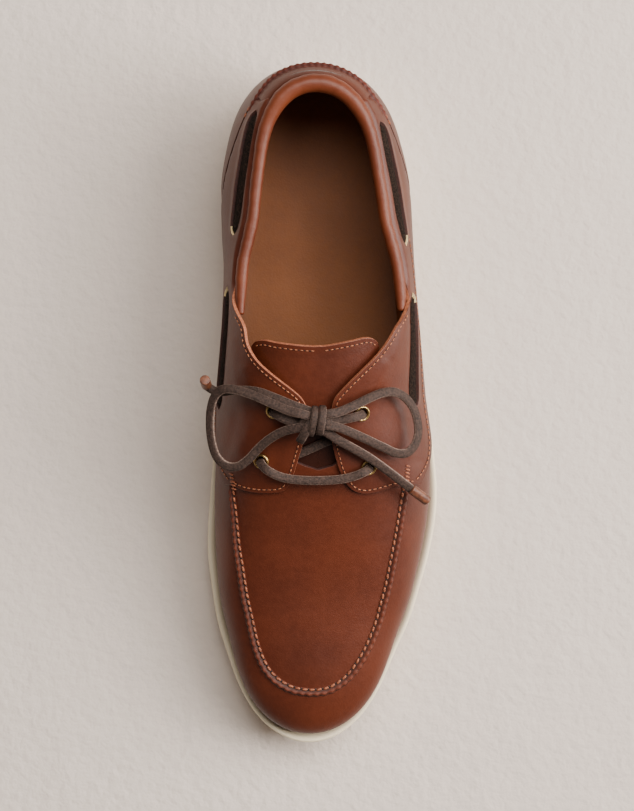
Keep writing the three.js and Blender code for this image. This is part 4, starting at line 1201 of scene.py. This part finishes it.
def gathered_ridge(name, line, profile, pitch, height, material, slot):
    """A ruched ridge along a line: profile is (offset to the line's right, height)."""
    count = int(line.length / pitch) * 5
    t = np.linspace(0, 1, count + 1)
    offsets, heights = np.array(profile).T
    points = []
    pull = 0.5 + 0.5 * np.cos(t * line.length / pitch * 2 * np.pi)
    fade = np.clip(np.minimum(t, 1 - t) * line.length / 6, 0, 1)
    for offset, rise in zip(offsets, heights):
        shifted = line.beside(-offset * (1 - 0.10 * pull * (offset > 0.4)), len(t))
        soft = rise * (1 - 0.28 * pull * (rise > 0.25)) * (fade if rise > 0 else 1) * height
        points.append(on_last(*shifted.places.T, line.grown + soft))
    # painted shade: darker at the ridge's two feet and in the dips of its gathers
    painted_foot_shade = np.exp(-((offsets - 0.1) / 0.6) ** 2) + 0.7 * np.exp(-((offsets - 3.1) / 0.55) ** 2)
    shade = painted_foot_shade[:, None] * np.ones(len(t)) + 0.4 * np.outer((offsets > 0.4) & (offsets < 3), pull)
    sheet(name, points, [material], 0, slot, shade=np.clip(shade, 0, 1))


apron_line = Line(locate(APRON_SEAM, UPPER), UPPER)
ridge_calf = tan_leather("gathered_calf", (82, 32, 14), (102, 44, 20), (26, 9, 4), 0.6, 1.4)
gathered_ridge("apron_ridge", apron_line, RIDGE_PROFILE, SEAM_PITCH, 1.0, ridge_calf, "vamp_leather")
sewn("apron_stitches", [
    (apron_line.beside(0.15, 120), SEAM_PITCH, 2.7, 1.15, 0.9, 0.45, thick_thread, 0, 8),
    (apron_line.beside(0.15, 120), SEAM_PITCH, 1.0, 1.1, 0.4, 0.2, pricked, 0.5, 0)])


# ---------- heel seam ----------
# The counter's top edge and the strap are gathered together in the same way, in a shorter
# ridge round the back of the heel, with thick stitches and holes of its own.
SEAM_MEDIAL, SEAM_LATERAL = -0.088, 0.094
heel_u = np.linspace(SEAM_MEDIAL, SEAM_LATERAL, 60)
seam_h = crossing(heel_u, COUNTER, 0.0, 0.9, above_rows(COUNTER_TOP, 0.4))
heel_line = Line(np.stack([heel_u, seam_h], -1), STRAP - HEEL_IN + 0.1)
HEEL_PROFILE = [(-1.6, -0.5), (-0.9, 0.1), (-0.2, 0.25), (0.3, 0.5), (0.7, 1.0), (1.2, 1.4),
                (1.8, 1.4), (2.4, 1.0), (3.0, 0.5), (3.7, -0.2)]
HEEL_PITCH = 2.8
heel_calf = tan_leather("gathered_heel_calf", (78, 26, 13), (98, 38, 22), (28, 9, 5), 0.58, 1.4)
gathered_ridge("heel_ridge", heel_line, HEEL_PROFILE, HEEL_PITCH, 1.05, heel_calf, "quarter_leather")
sewn("heel_stitches", [
    (heel_line.beside(-0.1, 60), HEEL_PITCH, 2.4, 1.0, 0.9, 0.6, thick_thread, 0, 14),
    (heel_line.beside(-0.1, 60), HEEL_PITCH, 0.9, 0.9, 0.34, 0.3, pricked, 0.5, 0)], "quarter_leather")


# ---------- lockstitch ----------
# Fine lockstitch 2 mm inside the facings' edges and the tongue's top and under the slots, and
# a short bar of hand stitches where each facing meets the apron seam.
LOCK = (2.2, 1.65, 0.55, 0.42, 0.2, fine_thread)    # pitch, length, width, height, lift
PRICK = (2.2, 0.6, 0.6, 0.24, 0.14, pricked, 0.5)
SIDE_ROW = {
    -1: [(106, 54.5), (120, 50.8), (138, 46.6), (150, 45.6), (160, 46.6), (167.5, 49.8), (172.8, 54),
         (176, 56.4)],
    1: [(46, 64.8), (62, 63.6), (72, 61.8), (80, 61), (93, 60.4), (106, 57.6), (120, 54), (138, 50.6),
        (150, 49), (160, 48.8), (167.5, 50.8), (172.8, 54.2), (176, 56.6)]}
runs = []
for side in (-1, 1):
    throat_edge, front_edge = quarter_lines[side]
    below_slots = Line(locate(SIDE_ROW[side], OVERLAY, side), OVERLAY)
    for line in (throat_edge.beside(side * 1.6, 90, 0.53, 0.985),
                 front_edge.beside(side * 1.7, 60, 0.04, 0.95), below_slots):
        runs += [(line, *LOCK), (line, *PRICK)]
for rear, front in (((172.8, -40.4), (180.4, -38.9)), ((169.4, 33.6), (178.2, 33.2))):
    tack = Line(locate([rear, front], OVERLAY), OVERLAY)
    runs.append((tack, 1.5, 2.9, 0.9, 0.7, 0.2, thick_thread, 0, 72))
sewn("edge_lockstitch", runs, "quarter_leather")

tongue_rows = []
for places in ([*TONGUE_TOP[1:6], (120.5, -6.2)], [(120.5, -3), *TONGUE_TOP[7:12]]):
    top = Line(locate(places, TONGUE_GROWN), TONGUE_GROWN).beside(-1.8, 40)
    tongue_rows += [(top, 2.1, 1.5, 0.5, 0.4, 0.4, fine_thread),
                    (top, 2.1, 0.6, 0.6, 0.2, 0.3, pricked, 0.5)]
sewn("tongue_stitches", tongue_rows, "tongue_leather")
